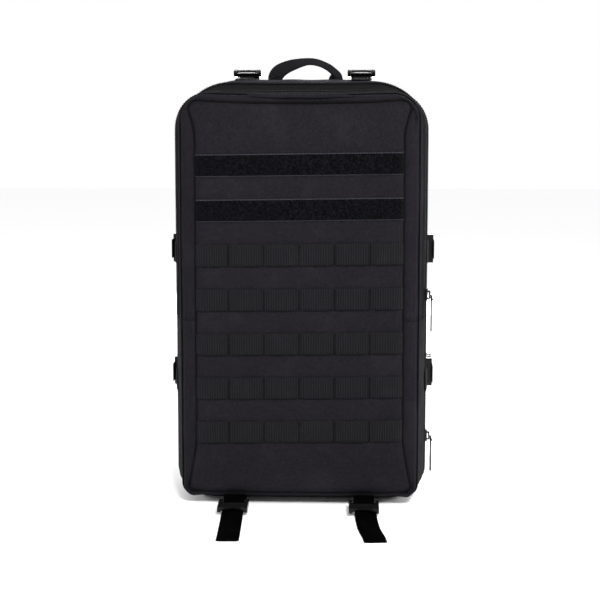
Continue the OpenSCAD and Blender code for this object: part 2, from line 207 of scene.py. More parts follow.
def webbing_mat(name, col, rib=0.0028, line=0.0016, rough=0.7, sheen=0.006, spec=0.06):
    """Woven webbing: ribs across it, warp lines along it, thicker selvedges. U runs along it, V across."""
    n = Nodes(name)
    u, v, _ = n.split(n.coord("UV"))
    obj = n.coord("Object")
    ribs = wave(n, u, rib)
    warp = wave(n, v, line)
    fine = n.math("MULTIPLY", wave(n, n.math("ADD", u, v), 0.0013), wave(n, n.math("SUBTRACT", u, v), 0.0013))
    h = n.math("ADD", n.math("MULTIPLY", ribs, 0.8), n.math("ADD", n.math("MULTIPLY", warp, 0.2), n.math("MULTIPLY", fine, 0.25)))
    mottle = n.noise(obj, 75, 5, 0.6)
    fuzz = n.noise(obj, 1300, 2)
    base = n.mix(mottle, rgb(col, 0.55), rgb(col, 0.8))
    base = n.mix(n.ramp(h, -0.9, 0.9, 0.0, 0.95), base, rgb(col, 1.75))
    base = n.mix(n.math("MULTIPLY", n.ramp(n.noise(obj, 30, 5, 0.7), 0.55, 0.8), 0.03), base, (0.10, 0.10, 0.105, 1))
    n.link(base, n.b.inputs["Base Color"])
    n.link(n.ramp(fuzz, 0.3, 0.7, rough - 0.08, rough + 0.1), n.b.inputs["Roughness"])
    n.link(n.bump(n.math("ADD", h, n.math("MULTIPLY", fuzz, 0.5)), 0.0005, 0.9), n.b.inputs["Normal"])
    n.b.inputs["Sheen Weight"].default_value = sheen
    n.b.inputs["Specular IOR Level"].default_value = spec
    return n.mat


def pile_mat(name, col):
    """Loop pile: a dense tangle of small loops, brushed into faint patches."""
    n = Nodes(name)
    obj = n.coord("Object")
    loops = n.voronoi(obj, 520)
    tang = n.noise(obj, 360, 5, 0.8)
    patch = n.noise(obj, 45, 4, 0.6)
    base = n.mix(patch, rgb(col, 0.12), rgb(col, 0.3))
    base = n.mix(n.ramp(tang, 0.42, 0.68, 0.0, 0.7), base, rgb(col, 3.2))
    n.link(base, n.b.inputs["Base Color"])
    n.b.inputs["Roughness"].default_value = 0.93
    n.b.inputs["Sheen Weight"].default_value = 0.006
    n.b.inputs["Sheen Roughness"].default_value = 0.6
    n.b.inputs["Specular IOR Level"].default_value = 0.02
    n.link(n.bump(n.math("ADD", loops, n.math("MULTIPLY", tang, 0.8)), 0.0009, 0.9), n.b.inputs["Normal"])
    return n.mat


def mesh_mat(name, col, cell=250):
    """Spacer mesh: small round cells sunk between knitted ribs."""
    n = Nodes(name)
    obj = n.coord("Object")
    cells = n.voronoi(obj, cell)
    knit = n.noise(obj, 1100, 3)
    hole = n.ramp(cells, 0.12, 0.42)
    base = n.mix(hole, rgb(col, 0.25), rgb(col, 1.35))
    base = n.mix(n.math("MULTIPLY", n.noise(obj, 40, 4), 0.3), base, rgb(col, 1.9))
    n.link(base, n.b.inputs["Base Color"])
    n.b.inputs["Roughness"].default_value = 0.82
    n.b.inputs["Sheen Weight"].default_value = 0.03
    n.b.inputs["Specular IOR Level"].default_value = 0.2
    n.link(n.bump(n.math("ADD", hole, n.math("MULTIPLY", knit, 0.3)), 0.0011, 0.9), n.b.inputs["Normal"])
    return n.mat


def plastic_mat(name, col, rough=0.3, grain=900, spec=0.16):
    """Moulded acetal: fine spark-eroded grain, worn shinier and scratched along its length."""
    n = Nodes(name)
    obj = n.coord("Object")
    g = n.noise(obj, grain, 3)
    wear = n.noise(obj, 90, 5, 0.7)
    scratch = n.noise(obj, 300, 6, 0.8)
    n.link(n.mix(wear, rgb(col, 0.8), rgb(col, 1.6)), n.b.inputs["Base Color"])
    n.link(n.ramp(wear, 0.3, 0.75, rough + 0.1, rough - 0.06), n.b.inputs["Roughness"])
    n.link(n.bump(n.math("ADD", g, n.math("MULTIPLY", scratch, 0.4)), 0.00006, 0.7), n.b.inputs["Normal"])
    n.b.inputs["Specular IOR Level"].default_value = spec
    return n.mat


def metal_mat(name, col):
    n = Nodes(name)
    obj = n.coord("Object")
    wear = n.noise(obj, 420, 5, 0.7)
    n.link(n.mix(n.ramp(wear, 0.6, 0.78), rgb(col), (0.05, 0.049, 0.048, 1)), n.b.inputs["Base Color"])
    n.link(n.ramp(wear, 0.4, 0.8, 0.5, 0.34), n.b.inputs["Roughness"])
    n.b.inputs["Metallic"].default_value = 0.6
    n.link(n.bump(n.noise(obj, 1400, 3), 0.00004, 0.6), n.b.inputs["Normal"])
    return n.mat


def slot_col(slot, k=0.2):
    return [c * k for c in [m["base_color"][:3] for m in frame["record"]["materials"] if m["slot"] == slot][0]]


CLOTH = pack_cloth("pack_cloth", slot_col("pack_cloth"))
CLOTH_TRIM = pack_cloth("pack_cloth_trim", [c * 1.25 for c in slot_col("pack_cloth")], thread=0.0007, crumple=0.0004)
CLOTH_OBJ = pack_cloth("pack_cloth_padded", slot_col("pack_cloth"), uv=False)
LINING = pack_cloth("lining_cloth", [c * 1.5 for c in slot_col("pack_cloth")], thread=0.0005, depth=0.00012, crumple=0.0016, rough=0.6)
WEB = webbing_mat("webbing", slot_col("webbing"))
# The same webbing at a tenth of its colour, for the lash loops and tails under the pack: the darkening is painted
# shade.
WEB_PAINTED_SHADE = webbing_mat("webbing_dark", slot_col("webbing", 0.02), rib=0.0016, line=0.0014, rough=0.85, sheen=0.0, spec=0.008)
HANDLE = webbing_mat("handle_webbing", slot_col("webbing"), rib=0.0019, line=0.0014)
ELASTIC = webbing_mat("elastic", slot_col("webbing"), rib=0.0015, line=0.0022, rough=0.75)
TAPE = webbing_mat("zip_tape", slot_col("zip_tape", 0.09), rib=0.0009, line=0.0018, rough=0.75)
PILE = pile_mat("loop_pile", slot_col("loop_pile"))
MESH = mesh_mat("spacer_mesh", slot_col("spacer_mesh"))
NET = mesh_mat("pocket_mesh", slot_col("spacer_mesh"), cell=420)
HARD = plastic_mat("hardware", slot_col("hardware", 0.25), rough=0.2)
COIL = plastic_mat("zip_coil", (0.012, 0.012, 0.013), rough=0.42)
CORD = plastic_mat("pull_cord", slot_col("pull_cord"), rough=0.6, grain=1500)
METAL = metal_mat("slider_metal", slot_col("slider_metal"))
SHEETM = plastic_mat("frame_plastic", slot_col("frame_plastic"), rough=0.45)
THREAD = webbing_mat("thread", (0.0075, 0.0072, 0.0084), rib=0.0006, line=0.0009, rough=0.6)
# Near-black: the real thread of the bar tacks, and painted seam shade where it colours the front panel's piping.
TACK_AND_SEAM_SHADE = webbing_mat("tack_thread", (0.0012, 0.0012, 0.0015), rib=0.0006, line=0.0009, rough=0.7)
EDGE = webbing_mat("strip_edge", (0.024, 0.024, 0.030), rib=0.0016, line=0.0010, rough=0.7)


# ------------------------------------------------------------------ geometry helpers (millimetres in, metres out)
def wob(p, scale, seed, n=9):
    """Smooth seeded noise, roughly -1 to 1."""
    r = np.random.default_rng(seed)
    k = r.normal(size=(n, 3)) * 2 * PI / scale * 0.55
    ph = r.uniform(0, 2 * PI, n)
    p = np.asarray(p, float)
    s = np.zeros(p.shape[:-1])
    for i in range(n):
        s += np.sin(p @ k[i] + ph[i])
    return s / (n ** 0.5) / 1.3


def ease(t):
    t = np.clip(t, 0, 1)
    return t * t * (3 - 2 * t)


def make(name, verts, faces, mats, uvs=None, midx=None, smooth=True):
    me = bpy.data.meshes.new(name)
    me.from_pydata((np.asarray(verts, float) / 1000).tolist(), [], [tuple(int(i) for i in f) for f in faces])
    for m in mats if isinstance(mats, (list, tuple)) else [mats]:
        me.materials.append(m)
    if uvs is not None:
        layer = me.uv_layers.new(name="uv")
        layer.data.foreach_set("uv", (np.asarray(uvs, float) / 1000).ravel())
    me.polygons.foreach_set("use_smooth", [smooth] * len(me.polygons))
    if midx is not None:
        me.polygons.foreach_set("material_index", [int(i) for i in midx])
    me.update()
    o = bpy.data.objects.new(name, me)
    SCENE.collection.objects.link(o)
    return o


def grid(name, P, mats, closed=False, midx_rows=None, flip=False, cap=False):
    """A surface through P (rows, columns, 3). UV is arc length in millimetres, so a weave keeps its size."""
    P = np.asarray(P, float)
    R, C = P.shape[:2]
    Q = np.concatenate([P, P[:, :1]], 1) if closed else P
    su = np.concatenate([np.zeros((R, 1)), np.cumsum(np.linalg.norm(np.diff(Q, axis=1), axis=2), 1)], 1)
    sv = np.concatenate([np.zeros((1, Q.shape[1])), np.cumsum(np.linalg.norm(np.diff(Q, axis=0), axis=2), 0)], 0)
    su = np.repeat(su[R // 2][None], R, 0)
    faces, uvs, mi = [], [], []
    nc = C if closed else C - 1
    for r in range(R - 1):
        for c in range(nc):
            c2 = (c + 1) % C
            idx = [(r, c, c), (r, c2, c + 1), (r + 1, c2, c + 1), (r + 1, c, c)]
            if flip:
                idx = idx[::-1]
            faces.append([i[0] * C + i[1] for i in idx])
            uvs.extend([(su[i[0], i[2]], sv[i[0], i[2]]) for i in idx])
            mi.append(midx_rows[r] if midx_rows is not None else 0)
    if cap:
        f = [(R - 1) * C + c for c in range(C)]
        faces.append(f[::-1] if flip else f)
        p = P[-1][::-1 if flip else 1]
        uvs.extend([(q[0], q[2]) for q in p])
        mi.append(0)
    return make(name, P.reshape(-1, 3), faces, mats, uvs, mi)


def normals(P, closed=False):
    if closed:
        du = np.roll(P, -1, 1) - np.roll(P, 1, 1)
    else:
        du = np.gradient(P, axis=1)
    dv = np.gradient(P, axis=0)
    n = np.cross(du, dv)
    return n / np.maximum(np.linalg.norm(n, axis=2, keepdims=True), 1e-9)


def thicken(o, mm, offset=-1.0):
    m = o.modifiers.new("thickness", "SOLIDIFY")
    m.thickness = mm / 1000
    m.offset = offset
    m.use_even_offset = False
    m.use_quality_normals = True
    return o


def band(name, path, wdir, w, t, mats, ndir=None, crown=0.0, edge=0.25, nw=8, close_ends=True):
    """A strap swept along path: wdir is across it, thickness t along the path's normal, sitting on the path's far side."""
    path = np.asarray(path, float)
    n = len(path)
    tan = np.gradient(path, axis=0)
    tan /= np.linalg.norm(tan, axis=1, keepdims=True)
    wd = np.broadcast_to(np.asarray(wdir, float), (n, 3)).copy()
    wd -= tan * np.sum(wd * tan, 1, keepdims=True)
    wd /= np.linalg.norm(wd, axis=1, keepdims=True)
    nd = np.cross(wd, tan)
    ws = np.broadcast_to(np.asarray(w, float), (n,))
    a = np.linspace(-1, 1, nw + 1)
    prof = [(s, 1.0 + crown * (1 - s * s) - (edge if abs(s) > 0.999 else 0)) for s in a]
    prof += [(s, 0.0 + (edge if abs(s) > 0.999 else 0)) for s in a[::-1]]
    prof = np.array(prof)
    P = path[:, None] + wd[:, None] * (prof[None, :, :1] * ws[:, None, None] / 2) + nd[:, None] * (prof[None, :, 1:] * t)
    K = len(prof)
    s = np.concatenate([[0], np.cumsum(np.linalg.norm(np.diff(path, axis=0), axis=1))])
    faces, uvs = [], []
    vv = prof[:, 0] * ws.mean() / 2
    for i in range(n - 1):
        for k in range(K):
            k2 = (k + 1) % K
            faces.append([i * K + k, i * K + k2, (i + 1) * K + k2, (i + 1) * K + k])
            uvs.extend([(s[i], vv[k]), (s[i], vv[k2]), (s[i + 1], vv[k2]), (s[i + 1], vv[k])])
    if close_ends:
        h = nw + 1
        for i, rev in ((0, False), (n - 1, True)):
            for k in range(nw):
                f = [i * K + k, i * K + k + 1, i * K + K - 2 - k, i * K + K - 1 - k]
                faces.append(f if rev else f[::-1])
                uvs.extend([(s[i], vv[k])] * 4)
    return make(name, P.reshape(-1, 3), faces, mats, uvs)


def smooth_path(pts, n=60):
    """Catmull-Rom through pts, resampled to even steps."""
    pts = np.asarray(pts, float)
    q = np.concatenate([[2 * pts[0] - pts[1]], pts, [2 * pts[-1] - pts[-2]]])
    out = []
    for i in range(1, len(q) - 2):
        for t in np.linspace(0, 1, 24, endpoint=False):
            a, b, c, d = q[i - 1], q[i], q[i + 1], q[i + 2]
            out.append(0.5 * (2 * b + (c - a) * t + (2 * a - 5 * b + 4 * c - d) * t * t + (3 * b - 3 * c + d - a) * t ** 3))
    out.append(pts[-1])
    return resample(np.array(out), n)


def resample(p, n):
    s = np.concatenate([[0], np.cumsum(np.linalg.norm(np.diff(p, axis=0), axis=1))])
    t = np.linspace(0, s[-1], n)
    return np.stack([np.interp(t, s, p[:, i]) for i in range(p.shape[1])], 1)


def tube(name, path, r, mats, closed=False, k=8):
    path = np.asarray(path, float)
    n = len(path)
    if closed:
        tan = np.roll(path, -1, 0) - np.roll(path, 1, 0)
    else:
        tan = np.gradient(path, axis=0)
    tan /= np.linalg.norm(tan, axis=1, keepdims=True)
    ref = np.array([0.0, 1.0, 0.0])
    if abs(tan[0] @ ref) > 0.9:
        ref = np.array([1.0, 0.0, 0.0])
    a = ref - tan * (tan @ ref)[:, None]
    a /= np.linalg.norm(a, axis=1, keepdims=True)
    b = np.cross(tan, a)
    rr = np.broadcast_to(np.asarray(r, float), (n,))
    ang = np.arange(k) * 2 * PI / k
    P = path[:, None] + rr[:, None, None] * (a[:, None] * np.cos(ang)[None, :, None] + b[:, None] * np.sin(ang)[None, :, None])
    s = np.concatenate([[0], np.cumsum(np.linalg.norm(np.diff(path, axis=0), axis=1)), [0]])
    faces, uvs = [], []
    m = n if closed else n - 1
    for i in range(m):
        j = (i + 1) % n
        s2 = s[i + 1] if i < n - 1 else s[i] + 2
        for c in range(k):
            d = (c + 1) % k
            faces.append([i * k + c, i * k + d, j * k + d, j * k + c])
            uvs.extend([(s[i], c * 1.0), (s[i], c + 1.0), (s2, c + 1.0), (s2, c * 1.0)])
    V = P.reshape(-1, 3)
    if not closed:
        faces.append(list(range(k))[::-1])
        faces.append([(n - 1) * k + c for c in range(k)])
        uvs.extend([(0, 0)] * (2 * k))
    return make(name, V, faces, mats, uvs)


def stitches(name, path, nrm, pitch=3.2, length=2.2, r=0.36, mat=None, lift=0.15):
    """A row of lock stitches: small sunk lozenges of thread along path."""
    path = np.asarray(path, float)
    s = np.concatenate([[0], np.cumsum(np.linalg.norm(np.diff(path, axis=0), axis=1))])
    nrm = np.broadcast_to(np.asarray(nrm, float), path.shape)
    cnt = max(2, int(s[-1] / pitch))
    t = (np.arange(cnt) + 0.5) * s[-1] / cnt
    c = np.stack([np.interp(t, s, path[:, i]) for i in range(3)], 1)
    f = np.stack([np.interp(t + 0.4, s, path[:, i]) for i in range(3)], 1) - np.stack([np.interp(t - 0.4, s, path[:, i]) for i in range(3)], 1)
    f /= np.maximum(np.linalg.norm(f, axis=1, keepdims=True), 1e-9)
    nn = np.stack([np.interp(t, s, nrm[:, i]) for i in range(3)], 1)
    nn /= np.maximum(np.linalg.norm(nn, axis=1, keepdims=True), 1e-9)
    side = np.cross(f, nn)
    V, F, U = [], [], []
    ring = [(-0.5, 0.35), (-0.2, 1.0), (0.2, 1.0), (0.5, 0.35)]
    for i in range(cnt):
        base = len(V)
        for a, rr in ring:
            for j in range(5):
                an = PI * j / 4
                V.append(c[i] + f[i] * a * length + side[i] * math.cos(an) * r * rr + nn[i] * (lift + (math.sin(an) * rr - (1 - rr)) * r))
        for a in range(3):
            for j in range(4):
                q = [base + a * 5 + j, base + a * 5 + j + 1, base + (a + 1) * 5 + j + 1, base + (a + 1) * 5 + j]
                F.append(q[::-1])
                U.extend([(0, 0)] * 4)
    return make(name, V, F, mat or THREAD, U)


def join(name, objs):
    """One object from several, keeping materials and UVs."""
    for o in bpy.context.selected_objects:
        o.select_set(False)
    for o in objs:
        o.select_set(True)
    bpy.context.view_layer.objects.active = objs[0]
    with bpy.context.temp_override(active_object=objs[0], selected_editable_objects=objs, object=objs[0]):
        bpy.ops.object.join()
    objs[0].name = name
    return objs[0]


def mirror_x(o, name):
    me = o.data.copy()
    co = np.zeros(len(me.vertices) * 3)
    me.vertices.foreach_get("co", co)
    co[0::3] *= -1
    me.vertices.foreach_set("co", co)
    me.flip_normals()
    q = bpy.data.objects.new(name, me)
    SCENE.collection.objects.link(q)
    for m in o.modifiers:
        if m.type == "SUBSURF":
            k = q.modifiers.new(m.name, "SUBSURF")
            k.levels = k.render_levels = m.render_levels
        if m.type == "SOLIDIFY":
            k = q.modifiers.new(m.name, "SOLIDIFY")
            k.thickness, k.offset = m.thickness, m.offset
    return q


def ride(o, body, slot, *nodes):
    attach(o, body)
    if nodes:
        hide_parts(*nodes)
    return o


# ------------------------------------------------------------------ the pack's outline at any depth
NB, NC, NS1, NS2, NT, NTT = 10, 8, 26, 30, 14, 22   # half bottom, corner, side below and above the fold, top corner, half top
HALF = NB + NC + NS1 + NS2 + NT + NTT
NLOOP = 2 * HALF
I_FOLD = NB + NC + NS1


def outline(W, B, T, Rt, Rb):
    """Rounded outline in x, z; index I_FOLD is at the fold height on +X, HALF is the top centre."""
    pts = [(W - Rb) * i / NB for i in range(NB)]
    pts = [(x, B) for x in pts]
    pts += [(W - Rb + Rb * math.sin(PI / 2 * i / NC), B + Rb - Rb * math.cos(PI / 2 * i / NC)) for i in range(NC)]
    z0 = B + Rb
    pts += [(W, z0 + (FOLD - z0) * i / NS1) for i in range(NS1)]
    z1 = T - Rt
    pts += [(W, FOLD + (z1 - FOLD) * i / NS2) for i in range(NS2)]
    pts += [(W - Rt + Rt * math.cos(PI / 2 * i / NT), z1 + Rt * math.sin(PI / 2 * i / NT)) for i in range(NT)]
    pts += [((W - Rt) * (1 - i / NTT), T) for i in range(NTT)]
    right = np.array(pts)
    left = np.array([(0, T)] + [(-x, z) for x, z in pts[:0:-1]])
    return np.concatenate([right, left])


#      y      W      B     T      Rt    Rb
FRONT = np.array([
    [-100, 132.0, 12.8, 470.6, 27.0, 10.0],
    [-90, 136.8, 12.7, 472.0, 31.0, 12.0],
    [-78, 140.3, 12.6, 472.8, 35.0, 14.0],
    [-66, 142.9, 12.6, 473.2, 38.5, 18.0],
    [-62, 143.6, 12.6, 473.4, 39.0, 18.0],
    [-50, 145.2, 12.6, 474.2, 41.0, 19.0],
    [-40, 146.2, 12.6, 474.8, 44.0, 20.0],
    [-30, 146.8, 12.6, 475.4, 49.0, 20.0],
    [-25, 147.0, 12.6, 475.8, 52.0, 20.0],
])
REAR = np.array([
    [-25, 147.0, 12.6, 476.4, 53.0, 20.0],
    [-20, 147.3, 12.6, 480.6, 57.0, 20.0],
    [-14, 147.5, 12.6, 484.8, 61.0, 20.0],
    [-8, 147.5, 12.6, 487.4, 64.0, 20.0],
    [2, 147.5, 12.6, 489.8, 67.0, 20.0],
    [20, 147.4, 12.6, 491.6, 70.0, 20.0],
    [40, 146.2, 12.6, 492.6, 72.0, 21.0],
    [60, 144.0, 12.6, 493.2, 73.0, 22.0],
    [76, 140.4, 12.7, 493.4, 74.0, 22.0],
    [86, 136.6, 13.0, 493.0, 74.0, 22.0],
    [93, 131.6, 14.2, 491.4, 73.0, 21.0],
    [97.5, 125.4, 16.6, 488.4, 70.0, 19.0],
    [99.6, 118.5, 20.0, 484.4, 66.0, 17.0],
])


def station(table, y):
    v = [np.interp(y, table[:, 0], table[:, i]) for i in range(1, 6)]
    v[2] += DZ
    return outline(*v)


def sag(L, y):
    """Cloth dips between the stiffer corners, most at the front."""
    k = 2.4 * np.interp(y, [-110, -62, -25, 20, 90], [1.0, 0.8, 0.35, 0.5, 0.2])
    top = ease((L[:, 1] - (L[:, 1].max() - 30)) / 30)
    L = L.copy()
    L[:, 1] -= k * top * np.cos(np.clip(L[:, 0] / 112, -1, 1) * PI / 2) ** 2
    return L


SEAM_W, SEAM_B, SEAM_T = 117.6, 16.5, 461.0 + DZ


def warp(x, z):
    """The front panel's corners flare out and its top edge dips in the middle."""
    up = 8.6 * np.clip((z - 424) / 29, 0, 1) ** 1.6
    dn = 10.5 * np.clip((84 - z) / 62, 0, 1) ** 1.4
    k = (up + dn) / SEAM_W
    lift = 3.6 * np.clip(np.abs(x) / 106, 0, 1.1) ** 3 * np.clip((z - 400) / 60, 0, 1) ** 3
    return x * (1 + k), z + lift


def front_y(x, z):
    """Front panel's surface. More negative is further out."""
    x, z = np.asarray(x, float), np.asarray(z, float)
    w = SEAM_W + 8.6 * np.clip((z - 424) / 29, 0, 1) ** 1.6 + 10.5 * np.clip((84 - z) / 62, 0, 1) ** 1.4
    top = SEAM_T + 3.6 * np.clip(np.abs(x) / 106, 0, 1.1) ** 3
    d = np.minimum(np.minimum(w - np.abs(x), top - z), z - SEAM_B)
    y = -109.6 + 0 * x
    y -= 1.5 * np.clip(1 - (x / 118) ** 2, 0, 1) * np.clip(1 - ((z - 236) / 232) ** 4, 0, 1)
    y += 5.4 * np.exp(-np.clip(d, 0, None) / 2.6)                                     # edges tuck into the seam
    y += 9.5 * np.exp(-((x / 60) ** 2) - ((z - 455) / 15) ** 2)                       # hollow under the top seam
    for sx in (-1, 1):
        y += 6.0 * np.exp(-(((x - sx * 126) / 17) ** 2) - ((z - 458) / 20) ** 2)     # corners fall back
        y += 6.5 * np.exp(-(((x - sx * 126) / 17) ** 2) - ((z - 18) / 20) ** 2)
        y -= 1.4 * np.exp(-(((x - sx * 98) / 20) ** 2) - ((z - 440) / 14) ** 2)      # and puff beside them
    p = np.stack([x, 0 * x, z], -1)
    soft = ease(np.clip(d, 0, 14) / 14)
    y += soft * (1.0 * wob(p, 150, 11) + 0.55 * wob(p, 58, 12))
    y += soft * 0.6 * np.cos((z - 0.013 * x - 89) * 2 * PI / 50.6)                   # the rows hold the cloth down
    return y


def seam_loop():
    L = outline(SEAM_W, SEAM_B, SEAM_T, 12, 8)
    x, z = warp(L[:, 0], L[:, 1])
    return np.stack([x, front_y(x, z) + 0.6, z], 1)


# ------------------------------------------------------------------ front panel: one cloth over the whole front, from its bottom seam to its top seam
def panel():
    nz, nx = 112, 56
    P = np.zeros((nz + 1, nx + 1, 3))
    for j in range(nz + 1):
        v = j / nz
        z0 = SEAM_B + (SEAM_T - SEAM_B) * v
        w = SEAM_W
        for R, d in ((12, SEAM_T - z0), (8, z0 - SEAM_B)):
            if d < R:
                w = SEAM_W - (R - math.sqrt(max(0.0, R * R - (R - d) ** 2)))
        u = np.linspace(-1, 1, nx + 1)
        u = np.sign(u) * (1 - (1 - np.abs(u)) ** 1.25)
        x, z = warp(u * w, np.full(nx + 1, z0))
        P[j] = np.stack([x, front_y(x, z), z], 1)
    o = grid("front_panel", P, CLOTH, flip=False)
    thicken(o, 2.0, -1)
    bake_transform(o)
    return o


front_panel = panel()

SEAM = seam_loop()
# The piping's near-black colour is painted shade along the seam.
pipe = tube("front_panel_piping", SEAM + [0, -0.7, 0], 1.5, TACK_AND_SEAM_SHADE, closed=True, k=8)
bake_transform(pipe)


def rows_front(ys_offs, c0=0, c1=NLOOP, lead=False, puff=1.3, seed=21):
    """Rows of a gusset piece: ys_offs is [(y, outward offset)]; lead adds the rolled edge from the panel's seam to y = -100."""
    rows, offs = [], []
    if lead:
        S = SEAM.copy()
        L = sag(station(FRONT, -100), -100)
        for t in (0, 0.06, 0.14, 0.24, 0.36, 0.48, 0.6, 0.74, 0.88):
            a, b = math.sin(t * PI / 2), 1 - math.cos(t * PI / 2)
            q = S.copy()
            q[:, 0] += (L[:, 0] - S[:, 0]) * a
            q[:, 2] += (L[:, 1] - S[:, 2]) * a
            q[:, 1] += (-100 - S[:, 1]) * b
            rows.append(q)
            offs.append(1.5 * math.sin(PI * min(1.0, t / 0.6)) ** 0.7 if 0 < t < 0.6 else 0)
    for y, off in ys_offs:
        L = sag(station(FRONT if y <= -25 else REAR, y), y)
        rows.append(np.stack([L[:, 0], np.full(NLOOP, y), L[:, 1]], 1))
        offs.append(off)
    P = np.array(rows)
    N = -normals(P, closed=True)
    d = np.array(offs, float)[:, None] * np.ones((1, NLOOP))
    y0, y1 = P[0, :, 1].mean(), P[-1, :, 1].mean()
    t = (P[..., 1] - y0) / (y1 - y0)
    if puff:
        fade = np.sin(np.clip(t, 0, 1) * PI) ** 0.8
        d -= fade * (puff * 0.5 + 0.8 * puff * wob(P, 120, seed) + 0.35 * puff * wob(P, 45, seed + 1))
    P = P + N * d[..., None]
    return P[:, c0:c1]


def fill_rows(ya, yb, step=4.0):
    n = max(2, int(round(abs(yb - ya) / step)))
    return [(y, 0.0) for y in np.linspace(ya, yb, n + 1)]


C0, C1 = I_FOLD, NLOOP - I_FOLD + 1      # columns from the fold on +X over the top to the fold on -X
TAPE_W = 11.7
MT_W = 14.6

# cover gusset, from the panel's seam to its zip tape
ct0 = FZ - 0.4 - TAPE_W
spec = fill_rows(-100, ct0 - 2.4) + [(ct0 - 1.6, 0.9), (ct0 - 0.2, 1.1), (ct0 + 1.2, 0.8), (ct0 + 1.7, -0.1)]
P = rows_front(spec, C0, C1, lead=True, puff=1.5, seed=31)
cover_gusset = grid("cover_gusset", P, CLOTH, flip=True)
thicken(cover_gusset, 2.2, -1)
ride(cover_gusset, "cover", "pack_cloth", "cover_shell")

spec = [(ct0 + 1.2, -0.7), (ct0 + 4, -0.6), (ct0 + 8, -0.5), (FZ - 2.0, -0.4), (FZ - 0.9, -0.1), (FZ - 0.5, -0.5)]
P = rows_front(spec, C0, C1, puff=0)
o = grid("cover_zip_tape", P, TAPE, flip=True)
thicken(o, 1.0, -1)
ride(o, "cover", "zip_tape", "front_zip_tape_cover")

# tub: lower gusset below the fold, full ring behind the front zip
lz0 = FZ + 0.4
lz1 = lz0 + TAPE_W
mz0 = MZ - 0.4 - MT_W
spec = fill_rows(-100, lz0)
P = rows_front(spec, 0, NLOOP, lead=True, puff=1.5, seed=31)
low = np.concatenate([P[:, C1 - 1:], P[:, :C0 + 1]], 1)
tub_front = grid("tub_front_gusset", low, CLOTH, flip=True)
thicken(tub_front, 2.2, -1)
ride(tub_front, "lid", "pack_cloth", "lid_tub")

spec = [(lz0 + 0.1, -0.5), (lz0 + 0.6, -0.1), (lz0 + 1.8, -0.4), (lz0 + 6, -0.5), (lz1 - 0.6, -0.7)]
P = rows_front(spec, C0, C1, puff=0)
o = grid("tub_zip_tape", P, TAPE, flip=True)
thicken(o, 1.0, -1)
ride(o, "lid", "zip_tape", "front_zip_tape_tub")

spec = [(lz1 - 1.6, -0.1), (lz1 - 1.2, 0.9), (lz1 + 0.4, 1.2), (lz1 + 1.8, 0.5)] + fill_rows(lz1 + 3, mz0 - 2.4, 3) + [(mz0 - 1.4, 0.8), (mz0, 1.2), (mz0 + 1.2, 0.9), (mz0 + 1.7, -0.1)]
P = rows_front(spec, C0, C1, puff=0.5, seed=51)
o = grid("tub_ring_gusset", P, CLOTH, flip=True)
thicken(o, 2.2, -1)
ride(o, "lid", "pack_cloth", "lid_tub")
spec = [(lz0, 0.0)] + fill_rows(lz0 + 3, mz0 - 2.4, 3) + [(mz0 - 1.4, 0.8), (mz0, 1.2), (mz0 + 1.2, 0.9), (mz0 + 1.7, -0.1)]
P = rows_front(spec, 0, NLOOP, puff=0.5, seed=51)
o = grid("tub_lower_gusset", np.concatenate([P[:, C1 - 1:], P[:, :C0 + 1]], 1), CLOTH, flip=True)
thicken(o, 2.2, -1)
ride(o, "lid", "pack_cloth", "lid_tub")

spec = [(mz0 + 1.2, -0.8), (mz0 + 4, -0.7), (mz0 + 9, -0.6), (MZ - 2.2, -0.5), (MZ - 0.9, -0.1), (MZ - 0.5, -0.5)]
P = rows_front(spec, puff=0)
o = grid("lid_zip_tape", P, TAPE, closed=True, flip=True)
thicken(o, 1.0, -1)
ride(o, "lid", "zip_tape", "main_zip_tape_lid")

# rear body
rz0 = MZ + 0.4
rz1 = rz0 + MT_W
spec = [(rz0 + 0.1, -0.5), (rz0 + 0.6, -0.1), (rz0 + 1.9, -0.5), (rz0 + 6, -0.7), (rz0 + 10, -0.8), (rz1 - 0.8, -0.8)]
P = rows_front(spec, puff=0)
o = grid("shell_zip_tape", P, TAPE, closed=True, flip=True)
thicken(o, 1.0, -1)
ride(o, "pack", "zip_tape", "main_zip_tape_shell")

spec = [(rz1 - 1.8, -0.1), (rz1 - 1.3, 0.9), (rz1 + 0.4, 1.2), (rz1 + 2, 0.4)] + fill_rows(rz1 + 5, 84, 5) + [(88, 0), (91, 0), (93.5, 0), (95.5, 0), (97.2, 0), (98.4, 0), (99.2, 0), (99.6, 0)]
P = rows_front(spec, puff=1.8, seed=71)
shell_rows = P
rear_shell = grid("rear_shell_skin", P, CLOTH, closed=True, flip=True)
thicken(rear_shell, 2.3, -1)
ride(rear_shell, "pack", "pack_cloth", "rear_shell")

# back wall, closed in rings towards its middle
last = P[-1]
ctr = np.array([0, last[:, 1].mean(), 240.0])
rings = []
for s in (1.0, 0.985, 0.96, 0.9, 0.8, 0.68, 0.55, 0.42, 0.3, 0.18, 0.06):
    q = ctr + (last - ctr) * [s, 0, s]
    q[:, 1] = 99.7 + 0.5 * math.sqrt(max(0, 1 - s)) + 0.25 * wob(q, 90, 5) * (1 - s)
    rings.append(q)
o = grid("back_wall", np.array(rings), CLOTH, closed=True, flip=True, cap=True)
thicken(o, 2.3, -1)
ride(o, "pack", "pack_cloth", "rear_shell")

# divider between the two compartments
rings = []
D = sag(station(FRONT, mz0 - 1), mz0 - 1)
D3 = np.stack([D[:, 0], np.full(NLOOP, mz0 + 0.0), D[:, 1]], 1)
c3 = np.array([0, mz0, 240.0])
for s in (0.982, 0.97, 0.95, 0.9, 0.8, 0.68, 0.55, 0.42, 0.3, 0.18, 0.06):
    q = c3 + (D3 - c3) * [s, 0, s]
    q[:, 1] += 0.35 * wob(q, 80, 6) * min(1, (1 - s) * 8) - 0.4
    rings.append(q)
o = grid("divider", np.array(rings), LINING, closed=True, flip=True, cap=True)
thicken(o, 1.8, -1)
ride(o, "lid", "pack_cloth", "lid_tub")

# base panel: a tucked, rounded pad under the seam
bl, bh = lo("base_panel"), hi("base_panel")


